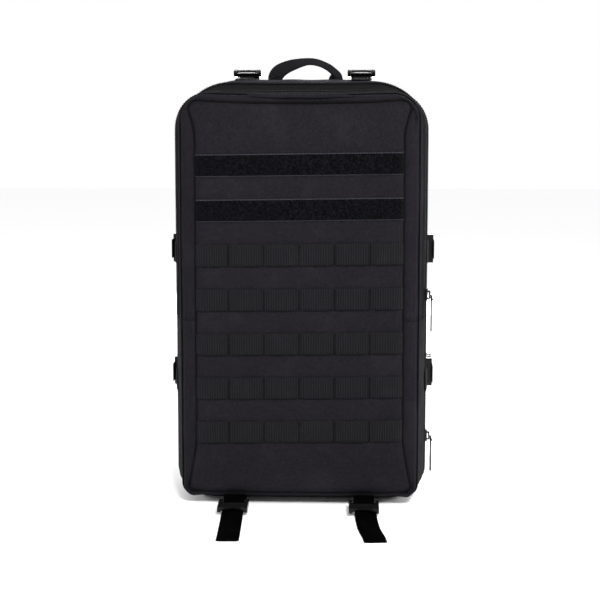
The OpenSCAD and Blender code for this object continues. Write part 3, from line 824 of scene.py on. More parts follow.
def base_pad():
    rows = []
    prof = [(0.0, 12.4, 0.0), (0.4, 9.0, -1.5), (0.7, 6.0, -5.0), (0.9, 3.2, -12.0), (1.0, 1.2, -20.0)]
    n = 120
    ang = np.linspace(0, 2 * PI, n, endpoint=False)

    def rr(hx, y0, y1, r):
        cx = np.clip(np.cos(ang) * 1e3, -(hx - r), hx - r)
        cyc, hy = (y0 + y1) / 2, (y1 - y0) / 2
        cy = np.clip(np.sin(ang) * 1e3, -(hy - r), hy - r)
        # evenly spread by perimeter: sample a rounded rectangle by its corners
        pts = []
        for qx, qy, a0 in ((1, 1, 0), (-1, 1, 90), (-1, -1, 180), (1, -1, 270)):
            for k in range(n // 4):
                a = math.radians(a0 + 90 * k / (n // 4 - 1))
                pts.append((qx * (hx - r) + r * math.cos(a), cyc + qy * (hy - r) + r * math.sin(a)))
        return np.array(pts)

    for hx, y0, y1, r, z in ((122, -90, 88, 20, 13.4), (124, -90, 89, 22, 11.6), (124.5, -89, 89.5, 24, 9.8), (124, -82.5, 89.4, 24, 6.2), (122, -73, 88, 24, 3.0),
                             (120, -62, 86, 24, 0.6), (116, -57, 84, 22, 0.05), (90, -40, 64, 18, 0.05), (40, -12, 36, 10, 0.05)):
        q = rr(hx, y0, y1, r)
        rows.append(np.stack([q[:, 0], q[:, 1], np.full(len(q), z)], 1))
    return np.array(rows)


o = grid("base_pad", base_pad(), CLOTH_TRIM, closed=True, flip=True, cap=True)
thicken(o, 1.5, -1)
ride(o, "pack", "pack_cloth", "base_panel")


# ------------------------------------------------------------------ zip coils
def coil(name, y, lift, c0, c1, body, phase, table, side):
    L = sag(station(table, y), y)
    p = np.stack([L[:, 0], np.full(NLOOP, y), L[:, 1]], 1)
    nrm = -normals(np.array([p + [0, -0.5, 0], p, p + [0, 0.5, 0]]), closed=True)[1]
    p = p + nrm * lift
    if c1 - c0 < NLOOP:
        p, nrm = p[c0:c1], nrm[c0:c1]
    else:
        p, nrm = np.concatenate([p, p[:1]]), np.concatenate([nrm, nrm[:1]])
    s = np.concatenate([[0], np.cumsum(np.linalg.norm(np.diff(p, axis=0), axis=1))])
    t = np.arange(1.0 + phase, s[-1] - 1.0, 1.9)
    c = np.stack([np.interp(t, s, p[:, i]) for i in range(3)], 1)
    nn = np.stack([np.interp(t, s, nrm[:, i]) for i in range(3)], 1)
    f = np.stack([np.interp(t + 0.5, s, p[:, i]) - np.interp(t - 0.5, s, p[:, i]) for i in range(3)], 1)
    f /= np.linalg.norm(f, axis=1, keepdims=True)
    V, F, U = [], [], []
    w, d, h = 0.62, 1.15, 0.55
    for i in range(len(t)):
        b = len(V)
        for a in (-1, 1):
            for yy, hh in ((-1.0, 0.0), (-0.75, 0.8), (0.55, 1.0), (1.0, 0.0)):
                V.append(c[i] + f[i] * a * w + np.array([0, 1, 0]) * yy * d * side + nn[i] * hh * h)
        for k in range(3):
            q = [b + k, b + k + 1, b + 4 + k + 1, b + 4 + k]
            F.append(q if side > 0 else q[::-1])
            U.extend([(0, 0)] * 4)
        F.append([b, b + 3, b + 2, b + 1] if side > 0 else [b + 1, b + 2, b + 3, b])
        F.append([b + 4, b + 5, b + 6, b + 7] if side > 0 else [b + 7, b + 6, b + 5, b + 4])
        U.extend([(0, 0)] * 8)
    o = make(name, V, F, COIL, U)
    return ride(o, body, "zip_tape")


def gusset_cord(name, y, c0, c1, body):
    L = sag(station(FRONT, y), y)
    p = np.stack([L[:, 0], np.full(NLOOP, y), L[:, 1]], 1)
    nrm = -normals(np.array([p + [0, -0.5, 0], p, p + [0, 0.5, 0]]), closed=True)[1]
    p = p + nrm * 0.35
    p = p[c0:c1] if c0 < c1 else np.concatenate([p[c0:], p[:c1]])
    return ride(tube(name, p, 1.0, TACK_AND_SEAM_SHADE), body, "pack_cloth")


gusset_cord("cover_edge_seam", -93, C0, C1, "cover")
gusset_cord("tub_edge_seam", -93, C1 - 1, C0 + 1, "lid")

coil("cover_zip_coil", FZ - 1.2, 0.0, C0, C1, "cover", 0.0, FRONT, 1)
coil("tub_zip_coil", FZ + 1.2, 0.0, C0, C1, "lid", 0.95, FRONT, -1)
coil("lid_zip_coil", MZ - 1.2, 0.0, 0, NLOOP, "lid", 0.0, FRONT, 1)
coil("shell_zip_coil", MZ + 1.2, 0.0, 0, NLOOP, "pack", 0.95, REAR, -1)


# ------------------------------------------------------------------ seam stitching along the gussets
def ring_stitch(name, y, off, c0, c1, body, table, mat=None):
    L = sag(station(table, y), y)
    p = np.stack([L[:, 0], np.full(NLOOP, y), L[:, 1]], 1)
    nrm = -normals(np.array([p + [0, -0.5, 0], p, p + [0, 0.5, 0]]), closed=True)[1]
    p = p + nrm * off
    if c1 - c0 < NLOOP:
        p, nrm = p[c0:c1], nrm[c0:c1]
    else:
        p, nrm = np.concatenate([p, p[:1]]), np.concatenate([nrm, nrm[:1]])
    return ride(stitches(name, p, nrm, mat=mat), body, "pack_cloth")


ring_stitch("cover_hem_stitch", ct0 - 0.1, 1.1, C0, C1, "cover", FRONT)
ring_stitch("tub_hem_stitch", lz1 + 0.4, 1.2, C0, C1, "lid", FRONT)
ring_stitch("lid_hem_stitch", mz0 + 0.1, 1.2, 0, NLOOP, "lid", FRONT)
ring_stitch("shell_hem_stitch", rz1 + 0.3, 1.2, 0, NLOOP, "pack", REAR)

# ------------------------------------------------------------------ ladder webbing and loop strips on the front
SKEW = 0.013
ROWS = {n: (lo(n)[2] + hi(n)[2]) / 2 for n in ("molle_row_1", "molle_row_2", "molle_row_3", "molle_row_4", "molle_row_5")}
WEB_W = hi("molle_row_1")[2] - lo("molle_row_1")[2]
TACKS = np.array([-80.0, -40.0, 0.0, 40.0, 80.0])


def ladder_row(node, body, seed):
    zc = ROWS[node]
    x = np.linspace(-117.4, 117.4, 236)
    d = np.min(np.abs(x[:, None] - np.concatenate([TACKS, [-115.4, 115.4]])[None]), 1)
    puff = 1.5 * ease(d / 11) * (0.85 + 0.3 * wob(np.stack([x, 0 * x, 0 * x + zc], 1), 60, seed))
    nw = 12
    a = np.linspace(-1, 1, nw + 1)
    z = zc + SKEW * x[:, None] + a[None] * WEB_W / 2
    X = np.repeat(x[:, None], nw + 1, 1)
    y0 = front_y(X, z)
    y0 = 0.35 * y0 + 0.65 * y0.mean(1, keepdims=True)
    top = y0 - 0.5 - 1.25 - puff[:, None] * (1 - 0.35 * a[None] ** 2) + 0.5 * (np.abs(a[None]) > 0.99)
    bot = top + 1.25 - 0.7 * (np.abs(a[None]) > 0.99)
    P = np.concatenate([np.stack([X, top, z], 2), np.stack([X, bot, z], 2)[:, ::-1]], 1)
    n, K = P.shape[:2]
    faces, uvs = [], []
    vv = np.concatenate([a, a[::-1]]) * WEB_W / 2
    for i in range(n - 1):
        for k in range(K):
            k2 = (k + 1) % K
            faces.append([i * K + k, (i + 1) * K + k, (i + 1) * K + k2, i * K + k2])
            uvs.extend([(x[i], vv[k]), (x[i + 1], vv[k]), (x[i + 1], vv[k2]), (x[i], vv[k2])])
    for i, rev in ((0, False), (n - 1, True)):
        for k in range(nw):
            f = [i * K + k, i * K + k + 1, i * K + K - 2 - k, i * K + K - 1 - k]
            faces.append(f if not rev else f[::-1])
            uvs.extend([(x[i], vv[k])] * 4)
    o = make(node + "_web", P.reshape(-1, 3), faces, WEB, uvs)
    ride(o, body, "webbing", node)
    # bar tacks: satin stitches across a narrow ridge
    V, F, U = [], [], []
    for tx in TACKS:
        for k in range(17):
            zz = zc + SKEW * tx + (k - 8) * WEB_W * 0.93 / 17
            yy = float(front_y(tx, zz)) - 0.5 - 1.25
            b = len(V)
            for (dx, dz, dy) in ((-1.2, -0.5, 0.1), (-1.2, 0.5, 0.1), (-0.7, -0.62, -0.45), (-0.7, 0.62, -0.45), (0.7, -0.62, -0.45), (0.7, 0.62, -0.45), (1.2, -0.5, 0.1), (1.2, 0.5, 0.1)):
                V.append((tx + dx, yy + dy, zz + dz + 0.25 * dx / 1.5))
            for q in ((0, 2, 3, 1), (2, 4, 5, 3), (4, 6, 7, 5)):
                F.append([b + i for i in q])
                U.extend([(0, 0)] * 4)
    t = make(node + "_tacks", V, F, TACK_AND_SEAM_SHADE, U)
    ride(t, body, "webbing")
    return o


for i, (n, b) in enumerate((("molle_row_1", "cover"), ("molle_row_2", "cover"), ("molle_row_3", "lid"), ("molle_row_4", "lid"), ("molle_row_5", "lid"))):
    ladder_row(n, b, 80 + i)


def loop_strip(node, body):
    zc = (lo(node)[2] + hi(node)[2]) / 2
    w = hi(node)[2] - lo(node)[2]
    x = np.linspace(-117.6, 117.6, 160)
    prof = [(-1, 0.2), (-0.985, 1.0), (-0.93, 1.15), (-0.9, 1.7), (-0.6, 1.95), (-0.3, 2.05), (0, 2.1), (0.3, 2.05), (0.6, 1.95), (0.9, 1.7), (0.93, 1.15), (0.985, 1.0), (1, 0.2)]
    a = np.array([p[0] for p in prof])
    h = np.array([p[1] for p in prof])
    z = zc + SKEW * x[:, None] + a[None] * w / 2
    X = np.repeat(x[:, None], len(a), 1)
    y0 = front_y(X, z)
    end = ease((117.6 - np.abs(x)) / 1.6)[:, None]
    top = y0 - h[None] * (0.35 + 0.65 * end) + 0.18 * wob(np.stack([X, 0 * X, z], 2), 24, 90)
    P = np.stack([X, top, z], 2)
    mi = []
    o = grid(node + "_pile", P, [PILE, EDGE], flip=True)
    nc = len(a) - 1
    sel = [1 if (c < 3 or c > nc - 4) else 0 for c in range(nc)]
    o.data.polygons.foreach_set("material_index", [sel[i % nc] for i in range(len(o.data.polygons))])
    thicken(o, 0.9, -1)
    ride(o, body, "loop_pile", node)
    for s in (-1, 1):
        zz = zc + SKEW * x + s * w / 2 * 0.955
        p = np.stack([x, front_y(x, zz) - 1.15, zz], 1)
        ride(stitches(f"{node}_stitch_{'a' if s < 0 else 'b'}", p[1:-1], (0, -1, 0), mat=THREAD), body, "webbing")
    return o


loop_strip("loop_strip_upper", "cover")
loop_strip("loop_strip_lower", "cover")

# row ends run into the seam: a row of stitches down each side of the panel
for side, s in (("left", -1), ("right", 1)):
    for part, body, z0, z1 in (("low", "lid", 76, FOLD - 10), ("high", "cover", FOLD + 10, 408)):
        z = np.linspace(z0, z1, 60)
        x = s * np.full(60, 116.4)
        st = stitches(f"panel_edge_stitch_{side}_{part}", np.stack([x, front_y(x, z) - 0.1, z], 1), (0, -1, 0))
        ride(st, body, "pack_cloth")


# ------------------------------------------------------------------ straps and webbing
def arc_pts(cy, cz, r, a0, a1, n=14):
    return [(cy + r * math.cos(math.radians(a0 + (a1 - a0) * i / n)), cz + r * math.sin(math.radians(a0 + (a1 - a0) * i / n))) for i in range(n + 1)]


def yz(pts, x):
    return np.array([(x, p[0], p[1]) for p in pts], float)


J = {j["name"]: j for j in frame["joints"]}


def jpos(n):
    return np.array(J[n]["pos_m"]) * 1000


for side, s in (("left", -1), ("right", 1)):
    # lash strap: sewn loop, lock, loose tail
    px, py, pz = jpos(f"lash_{side}_lift")
    pts = [(-82, 7.6), (-92, 5.0), (-104, 4.6), (-112, 4.9)] + arc_pts(py, pz, 2.75, 250, 100) + [(-112, 11.6), (-104, 12.0), (-95, 11.9)]
    # The loop, and the tail below it, use the webbing darkened as painted shade.
    o = band(f"lash_loop_{side}", smooth_path(yz(pts, px), 70), (1, 0, 0), 23.6, 1.1, WEB_PAINTED_SHADE)
    ride(o, "pack", "webbing", "lash_anchor_loops")
    tl, th = lo(f"lash_tail_{side}"), hi(f"lash_tail_{side}")
    end = tl[1]
    spl = 5.2 if s > 0 else 0.6
    ys = [py - 11.5, py - 14, py - 19, py - 25, py - 33, py - 43, py - 52, py - 64, py - 80, py - 97, py - 112, end + 6, end]
    zs = [9.2, 5.2, 3.9, 3.4, 2.6, 1.2, 0.55, 0.4, 0.45, 0.6, 0.5, 0.5, 0.9]
    xs = [1, 1.2, 1.6, 1.9, 2.2, 2.6, 3.1, 3.8, 5.0, 7.2, 9.6, 11.2, 11.8] if s > 0 else [0, 0, 0, 0.1, 0.2, 0.4, 0.7, 1.0, 1.6, 2.2, 2.7, 3.0, 3.2]
    path = smooth_path(np.stack([px + np.array(xs), ys, zs], 1), 90)
    o = band(f"lash_tail_{side}_web", path, (-1, 0, 0), 24.6, 1.3, WEB_PAINTED_SHADE)
    ride(o, f"lash_{side}", "webbing", f"lash_tail_{side}")
    # load lifter: lower web under the lock, upper web from the back round the fixed bar
    px, py, pz = jpos(f"lifter_lock_{side}_tilt")
    pts = [(22, 491.7), (34, 492.9), (48, 493.9), (62, 494.6), (74, 495.0), (86, 495.0), (91, 494.9)]
    o = band(f"lifter_web_front_{side}", smooth_path(yz(pts, px), 40), (-1, 0, 0), 24.6, 1.2, WEB)
    ride(o, "pack", "webbing", "load_lifter_web")
    for k in range(2):
        z0 = [(24.5 + 11 * k)] * 2
        st = stitches(f"lifter_tack_{side}_{k}", np.array([[px - 10, z0[0], 493.3 + 0.9 * k], [px + 10, z0[0], 493.3 + 0.9 * k]]), (0, 0, 1), pitch=1.6, length=1.4, r=0.5)
        ride(st, "pack", "webbing")
    pts = [(102.0, 468), (102.0, 484), (101.6, 494), (99.6, 500.2), (95.5, 502.6)] + arc_pts(py, pz, 2.7, 60, 250)[::1]
    pts = [(102.3, 466), (102.3, 480), (101.8, 491), (100.0, 498.5), (96.6, 502.2)] + arc_pts(py, pz, 2.8, 75, 255) + [(95.6, 496.9), (98.2, 495.0)]
    o = band(f"lifter_web_back_{side}", smooth_path(yz(pts, px), 80), (1, 0, 0), 24.0, 1.1, WEB)
    ride(o, "pack", "webbing", "load_lifter_web")

# grab handle: flat at its sewn feet, turning on edge over the arch
hx, hy, hz = jpos("handle_fold")
top = hi("grab_handle")[2]


def handle():
    cps = [(-40.0, 0.4, -3.5), (-38.6, 0.2, 2.5), (-34.2, 0.0, 8.2), (-26.0, -0.4, 13.4), (-14.0, -0.8, 18.0), (2.0, -1.0, 21.6), (15.0, -1.0, 20.6), (27.5, -0.8, 15.8), (36.5, -0.4, 9.4), (42.5, 0.0, 3.0), (44.0, 0.4, -3.5)]
    path = smooth_path(np.array([(x, hy + y, hz + z) for x, y, z in cps]), 90)
    tan = np.gradient(path, axis=0)
    tan /= np.linalg.norm(tan, axis=1, keepdims=True)
    up = np.stack([-tan[:, 2], 0 * tan[:, 0], tan[:, 0]], 1)
    t = np.linspace(-1, 1, 90)
    k = np.interp(t, [-1, -0.7, -0.35, 0.0, 0.4, 0.75, 1], [0.96, 0.95, 0.86, 0.66, 0.62, 0.70, 0.75])
    wd = up * k[:, None] + np.array([0, 1.0, 0]) * np.sqrt(1 - k * k)[:, None]
    w = np.interp(t, [-1, -0.8, -0.4, 0, 0.8, 1], [19, 19, 16, 13, 12.5, 14])
    o = band("handle_web", path - up * 1.5, wd, w, 3.0, HANDLE, crown=0.25, edge=0.3)
    ride(o, "handle", "webbing", "grab_handle")
    pads = []
    for s in (-1, 1):
        x0 = 36.5 * s
        p = yz([(102.2, 470), (102.4, 480), (102.3, 488), (101.6, 493.6), (99.6, 497.2)], x0)
        p[:, 0] += s * np.array([0, 0.4, 1.0, 2.2, 4.2])
        q = band(f"handle_foot_{'l' if s < 0 else 'r'}", smooth_path(p, 30), (1, 0, 0), 19, 1.8, WEB)
        ride(q, "pack", "webbing", "handle_feet")
        for zz in (473, 481):
            st = stitches(f"handle_foot_tack_{'l' if s < 0 else 'r'}_{zz}", np.array([[x0 - 8, 104.2, zz], [x0 + 8, 104.2, zz]]), (0, 1, 0), pitch=1.6, length=1.4, r=0.5)
            ride(st, "pack", "webbing")
    return o


handle()


# side surface, for what lies on it
def side_x(y, z=250):
    t = FRONT if y <= -25 else REAR
    return float(np.interp(y, t[:, 0], t[:, 1]))


for side, s in (("left", -1), ("right", 1)):
    for lvl in ("upper", "lower"):
        node = f"compression_male_{lvl}_{side}"
        zc = (lo(node)[2] + hi(node)[2]) / 2
        bx = min(abs(lo(node)[0]), abs(hi(node)[0]))           # inner face of the clip
        yb = lo(node)[1]                                        # its rear bar
        ys = [-51, -47, -38, -26, -12, 4, 16, 22]
        xs = [side_x(-51) + 0.4, side_x(-47) + 1.3, side_x(-38) + 1.4, side_x(-26) + 1.5, 148.4, 148.3, 148.2, 148.1]
        p = smooth_path(np.array([(s * x, y, zc) for x, y in zip(xs, ys)]), 50)
        o = band(f"compression_web_{lvl}_{side}", p, (0, 0, 1) if s < 0 else (0, 0, -1), 24.6, 1.1, WEB)
        ride(o, "lid", "webbing", "compression_web_front")
        # the strap's turn round the clip's bar, which goes with the clip
        cx = bx + 3.6
        c = yb + 5.6
        pts = [(c + 24 - 44, cx + 3.9), (c - 8, cx + 4.1), (c - 3, cx + 3.6)] + [(c + 1.9 * math.sin(a), cx + 2.4 * math.cos(a)) for a in np.linspace(0.0, PI, 9)] + [(c - 3, cx - 2.6), (c - 7, cx - 2.8)]
        p = smooth_path(np.array([(s * x, y, zc) for y, x in pts]), 60)
        o = band(f"clip_loop_{lvl}_{side}", p, (0, 0, -1) if s < 0 else (0, 0, 1), 22.4, 0.9, WEB)
        ride(o, f"clip_{lvl}_{side}", "webbing")
        # rear web from the back corner to the female half's bar
        yf = hi("compression_buckle_female")[1]
        fx = hi("compression_buckle_female")[0]
        ys = [86, 80, 72, 64, 57, 50]
        xs = [side_x(86) + 0.6, side_x(80) + 1.0, side_x(72) + 1.2, side_x(64) + 1.6, 147.2, 148.0]
        p = smooth_path(np.array([(s * x, y, zc) for x, y in zip(xs, ys)]), 40)
        o = band(f"compression_rear_{lvl}_{side}", p, (0, 0, -1) if s < 0 else (0, 0, 1), 24.6, 1.1, WEB)
        ride(o, "pack", "webbing", "compression_web_rear")
        cx = fx - 4.2
        c = yf - 2.4
        pts = [(c - 1.5, cx - 5.4), (c + 4, cx - 4.4)] + [(c + 0.6 + 3.2 * math.cos(a), cx + 3.9 * math.sin(a)) for a in np.linspace(-1.0, 1.57, 9)] + [(c - 2.6, cx + 2.4), (c - 4.4, cx - 1.2), (c - 4.0, cx - 4.4)]
        p = smooth_path(np.array([(s * x, y, zc) for y, x in pts]), 50)
        o = band(f"buckle_loop_{lvl}_{side}", p, (0, 0, -1) if s < 0 else (0, 0, 1), 24.0, 0.9, WEB)
        ride(o, "pack", "webbing")

# ------------------------------------------------------------------ hardware: CAD nodes kept, with softened edges
HARDWARE = ["compression_buckle_female", "ladderlock_top_left", "ladderlock_top_right", "ladderlock_bottom_left", "ladderlock_bottom_right",
            "lower_ladderlock_left", "lower_ladderlock_right", "sternum_buckle_female", "sternum_buckle_male", "d_ring_left", "d_ring_right"]
HARDWARE += [f"compression_male_{a}_{b}" for a in ("upper", "lower") for b in ("left", "right")]


def dress(node, mat, bevel=0.35):
    o = frame["nodes"][node]
    o.data.materials.clear()
    o.data.materials.append(mat)
    if bevel:
        m = o.modifiers.new("edges", "BEVEL")
        m.width = bevel / 1000
        m.segments = 2
        m.limit_method = "ANGLE"
        m.angle_limit = math.radians(35)
        m.harden_normals = False
    return o


for n in HARDWARE:
    dress(n, HARD, 0.0 if n.startswith("d_ring") else 0.45)
for n in ("main_slider", "front_slider"):
    dress(n, METAL, 0.3)
for n in ("main_pull", "front_pull"):
    dress(n, CORD, 0.4)
dress("frame_sheet", SHEETM, 0.4)

for name, slider_node, body in (("front", "front_slider", "front_pull"), ("main", "main_slider", "main_pull")):
    # cord loop through the slider's bridge and the grip's eye
    a, b = lo(slider_node), hi(slider_node)
    yc, zc = (a[1] + b[1]) / 2, (a[2] + b[2]) / 2
    xb = b[0]
    p = [(xb - 0.9, yc - 0.8, zc - 1.2), (xb + 1.2, yc - 1.7, zc - 2.8), (xb + 2.6, yc - 1.6, zc - 6), (xb + 2.6, yc + 1.6, zc - 6), (xb + 1.2, yc + 1.7, zc - 2.8), (xb - 0.9, yc + 0.8, zc - 1.2)]
    q = np.array(p + [p[0]])
    o = tube(f"{name}_pull_cord", smooth_path(q, 30)[:-1], 0.75, CORD, closed=True, k=7)
    ride(o, body, "pull_cord")


pl, ph = lo("lid_mesh_pocket"), hi("lid_mesh_pocket")
nx, nz = 50, 34
P = np.zeros((nz + 1, nx + 1, 3))
for j in range(nz + 1):
    for i in range(nx + 1):
        u, v = i / nx, j / nz
        x = pl[0] + (ph[0] - pl[0]) * u
        z = pl[2] + (ph[2] - pl[2]) * v
        e = min(u, 1 - u, v * 1.2)
        puffy = 3.6 * ease(e / 0.12) * (0.75 + 0.25 * math.sin(PI * v))
        gather = 0.5 * ease((v - 0.8) / 0.2) * math.sin(x / 3.1)
        P[j, i] = (x, mz0 + 0.6 + puffy + gather, z)
o = grid("pocket_mesh", P, NET, flip=False)
thicken(o, 0.6, -1)
ride(o, "lid", "spacer_mesh", "lid_mesh_pocket")
x = np.linspace(pl[0] + 1, ph[0] - 1, 90)
e = np.minimum(x - pl[0], ph[0] - x) / (ph[0] - pl[0])
p = np.stack([x, mz0 + 0.8 + 3.6 * ease(e / 0.12) + 0.4 * np.sin(x / 3.1), np.full(90, ph[2] - 3)], 1)
o = band("pocket_elastic", p, (0, 0, -1), 12, 1.0, ELASTIC)
ride(o, "lid", "webbing")

ol, oh = lo("organiser_loops"), hi("organiser_loops")
x = np.linspace(ol[0], oh[0], 180)
posts = np.array([-98, -60, -20, 20, 60, 98.0])
d = np.min(np.abs(x[:, None] - posts[None]), 1)
p = np.stack([x, oh[1] - 0.9 - 2.4 * ease(d / 12), np.full(180, (ol[2] + oh[2]) / 2)], 1)
o = band("organiser_elastic", p, (0, 0, 1), oh[2] - ol[2], 1.1, ELASTIC)
ride(o, "lid", "webbing", "organiser_loops")

sl, sh = lo("hydration_sleeve"), hi("hydration_sleeve")
nx, nz = 44, 40
P = np.zeros((nz + 1, nx + 1, 3))
for j in range(nz + 1):
    for i in range(nx + 1):
        u, v = i / nx, j / nz
        x = sl[0] + (sh[0] - sl[0]) * u
        z = sl[2] + (sh[2] - sl[2]) * v
        e = min(u, 1 - u, v * 1.3)
        P[j, i] = (x, 95.6 - 4.6 * ease(e / 0.14) - 0.5 * ease((v - 0.85) / 0.15) * math.sin(x / 3.4), z)
o = grid("sleeve_cloth", P, LINING, flip=True)
thicken(o, 0.8, -1)
ride(o, "pack", "spacer_mesh", "hydration_sleeve")
x = np.linspace(sl[0] + 1, sh[0] - 1, 90)
e = np.minimum(x - sl[0], sh[0] - x) / (sh[0] - sl[0])
p = np.stack([x, 95.0 - 4.6 * ease(e / 0.14) - 0.4 * np.sin(x / 3.4), np.full(90, sh[2] - 4)], 1)
o = band("sleeve_elastic", p, (0, 0, 1), 14, 1.0, ELASTIC)
ride(o, "pack", "webbing")


# ------------------------------------------------------------------ padded pieces, swollen by cloth simulation
def swell(verts, faces, name, mat, voxel=5.0, pressure=4.0, cap=7.0):
    """Closed pad, remeshed, blown up gently as cloth, its travel capped, then subdivided."""
    o = make(name, verts, faces, mat)
    m = o.modifiers.new("remesh", "REMESH")
    m.mode = "VOXEL"
    m.voxel_size = voxel / 1000
    m.use_smooth_shade = True
    dg = bpy.context.evaluated_depsgraph_get()
    me = bpy.data.meshes.new_from_object(o.evaluated_get(dg))
    o.modifiers.clear()
    o.data = me
    me.materials.clear()
    me.materials.append(mat)
    n = len(me.vertices)
    rest = np.zeros(n * 3)
    me.vertices.foreach_get("co", rest)
    rest = rest.reshape(-1, 3)
    c = o.modifiers.new("cloth", "CLOTH")
    st = c.settings
    st.quality = 5
    st.mass = 0.3
    st.tension_stiffness = st.compression_stiffness = 15
    st.shear_stiffness = 5
    st.bending_stiffness = 0.8
    st.use_pressure = True
    st.uniform_pressure_force = pressure
    st.effector_weights.gravity = 0
    c.collision_settings.use_collision = False
    c.collision_settings.use_self_collision = False
    c.point_cache.frame_start = 1
    c.point_cache.frame_end = 20
    for f in range(1, 21):
        SCENE.frame_set(f)
    dg = bpy.context.evaluated_depsgraph_get()
    ev = o.evaluated_get(dg).to_mesh()
    co = np.zeros(len(ev.vertices) * 3)
    ev.vertices.foreach_get("co", co)
    co = co.reshape(-1, 3)
    o.evaluated_get(dg).to_mesh_clear()
    o.modifiers.clear()
    SCENE.frame_set(1)
    d = co - rest
    L = np.linalg.norm(d, axis=1, keepdims=True)
    d *= np.minimum(1, cap / 1000 / np.maximum(L, 1e-9))
    me.vertices.foreach_set("co", (rest + d).ravel())
    me.update()
    s = o.modifiers.new("smooth", "SUBSURF")
    s.levels = s.render_levels = 1
    me.polygons.foreach_set("use_smooth", [True] * len(me.polygons))
    return o


def coords(o):
    co = np.zeros(len(o.data.vertices) * 3)
    o.data.vertices.foreach_get("co", co)
    return co.reshape(-1, 3) * 1000


def set_coords(o, co):
    o.data.vertices.foreach_set("co", (co / 1000).ravel())
    o.data.update()


def slab(P, t):
    """Closed slab: P (rows, cols, 3) is its inner face, t (rows, cols, 3) the offset to its outer face."""
    R, C = P.shape[:2]
    V = np.concatenate([P.reshape(-1, 3), (P + t).reshape(-1, 3)])
    F = []
    n = R * C
    for r in range(R - 1):
        for c in range(C - 1):
            q = [r * C + c, r * C + c + 1, (r + 1) * C + c + 1, (r + 1) * C + c]
            F.append(q)
            F.append([n + i for i in q[::-1]])
    edge = [(0, c) for c in range(C)] + [(r, C - 1) for r in range(1, R)] + [(R - 1, c) for c in range(C - 2, -1, -1)] + [(r, 0) for r in range(R - 2, 0, -1)]
    for i in range(len(edge)):
        a, b = edge[i], edge[(i + 1) % len(edge)]
        ia, ib = a[0] * C + a[1], b[0] * C + b[1]
        F.append([ib, ia, n + ia, n + ib])
    return V, F


# back pads
al, ah = lo("back_pad_right"), hi("back_pad_right")
cx, hw = (al[0] + ah[0]) / 2, (ah[0] - al[0]) / 2 - 2.5
z0, z1 = al[2] + 2.5, ah[2] - 2.5
R, C = 40, 14
P = np.zeros((R, C, 3))
T = np.zeros((R, C, 3))
for j in range(R):
    z = z0 + (z1 - z0) * j / (R - 1)
    d = min(z - z0, z1 - z)
    w = hw if d > 20 else hw - 20 + math.sqrt(max(0, 400 - (20 - d) ** 2))
    w *= 1 - 0.05 * math.sin(PI * (z - z0) / (z1 - z0)) ** 2
    for i in range(C):
        u = -1 + 2 * i / (C - 1)
        P[j, i] = (cx + u * w, al[1] + 1.2, z)
        T[j, i] = (0, 6.6, 0)
V, F = slab(P, T)
pad = swell(V, F, "back_pad_right_cushion", MESH, voxel=5, pressure=4, cap=3.4)
co = coords(pad)
zz = co[:, 2]
face = ease((co[:, 1] - (al[1] + 3)) / 4)
for k in range(4):                                        # sewn channels across the pad
    zc = z0 + (z1 - z0) * (k + 1) / 5
    co[:, 1] -= face * 3.0 * np.exp(-((zz - zc) / 4.2) ** 2)
co[:, 1] = np.clip(co[:, 1], al[1] - 0.4, ah[1] + 2.5)
set_coords(pad, co)
pad_l = mirror_x(pad, "back_pad_left_cushion")
ride(pad, "pack", "spacer_mesh", "back_pad_right")
ride(pad_l, "pack", "spacer_mesh", "back_pad_left")

# yoke
yl, yh = lo("strap_yoke"), hi("strap_yoke")
R, C = 10, 36
P = np.zeros((R, C, 3))
T = np.zeros((R, C, 3))
for j in range(R):
    z = yl[2] + 1 + (yh[2] - yl[2] - 2) * j / (R - 1)
    for i in range(C):
        u = -1 + 2 * i / (C - 1)
        P[j, i] = (u * (yh[0] - 1.5), yl[1] + 0.8, z)
        T[j, i] = (0, 9.6, 0)
V, F = slab(P, T)
yoke = swell(V, F, "yoke_cushion", CLOTH_OBJ, voxel=4.5, pressure=3.5, cap=2.4)
co = coords(yoke)
co[:, 1] = np.clip(co[:, 1], yl[1] - 0.4, yh[1] + 0.6)
set_coords(yoke, co)
ride(yoke, "pack", "pack_cloth", "strap_yoke")
for zz in (yl[2] + 3, yh[2] - 3):
    st = stitches(f"yoke_stitch_{int(zz)}", np.array([[-26, yh[1] - 1.6, zz], [26, yh[1] - 1.6, zz]]), (0, 1, 0))
    ride(st, "pack", "pack_cloth")


# shoulder straps
def strap_line(t):
    """Centre of the strap at t from its top (0) to its end (1)."""
    return np.array([60 + 40 * t, 120 + 28 * math.sin(PI * t), 456 + (150 - 456) * t])


def strap_half(t):
    return 31 if t < 0.75 else 31 - 13 * (t - 0.75) / 0.25


R, C = 44, 12
P = np.zeros((R, C, 3))
T = np.zeros((R, C, 3))
for j in range(R):
    t = 0.006 + 0.986 * j / (R - 1)
    c = strap_line(t)
    g = strap_line(min(1, t + 0.01)) - strap_line(max(0, t - 0.01))
    nrm = np.array([0, -g[2], g[1]])
    nrm /= np.linalg.norm(nrm)
    w = strap_half(t) - 2.2
    e = min(t, 1 - t) * 306
    if e < 9:
        w -= 9 - math.sqrt(max(0, 81 - (9 - e) ** 2))
    for i in range(C):
        u = -1 + 2 * i / (C - 1)
        th = 8.2 * (1 - 0.25 * abs(u) ** 3)
        P[j, i] = c + np.array([u * w, 0, 0]) - nrm * th / 2
        T[j, i] = nrm * th
V, F = slab(P, T)
strap = swell(V, F, "shoulder_strap_right_cushion", CLOTH_OBJ, voxel=5, pressure=4, cap=3.0)
co = coords(strap)
tt = (456 - co[:, 2]) / 306
edge = np.zeros(len(co))
mid = np.array([strap_line(min(1, max(0, t))) for t in tt])
rel = np.abs(co[:, 0] - mid[:, 0]) / np.array([strap_half(min(1, max(0, t))) for t in tt])
outer = np.where(co[:, 1] > mid[:, 1], 1.0, -1.0)
groove = 1.5 * np.exp(-((rel - 0.80) / 0.07) ** 2)                        # binding's seam
co[:, 1] -= outer * groove
set_coords(strap, co)
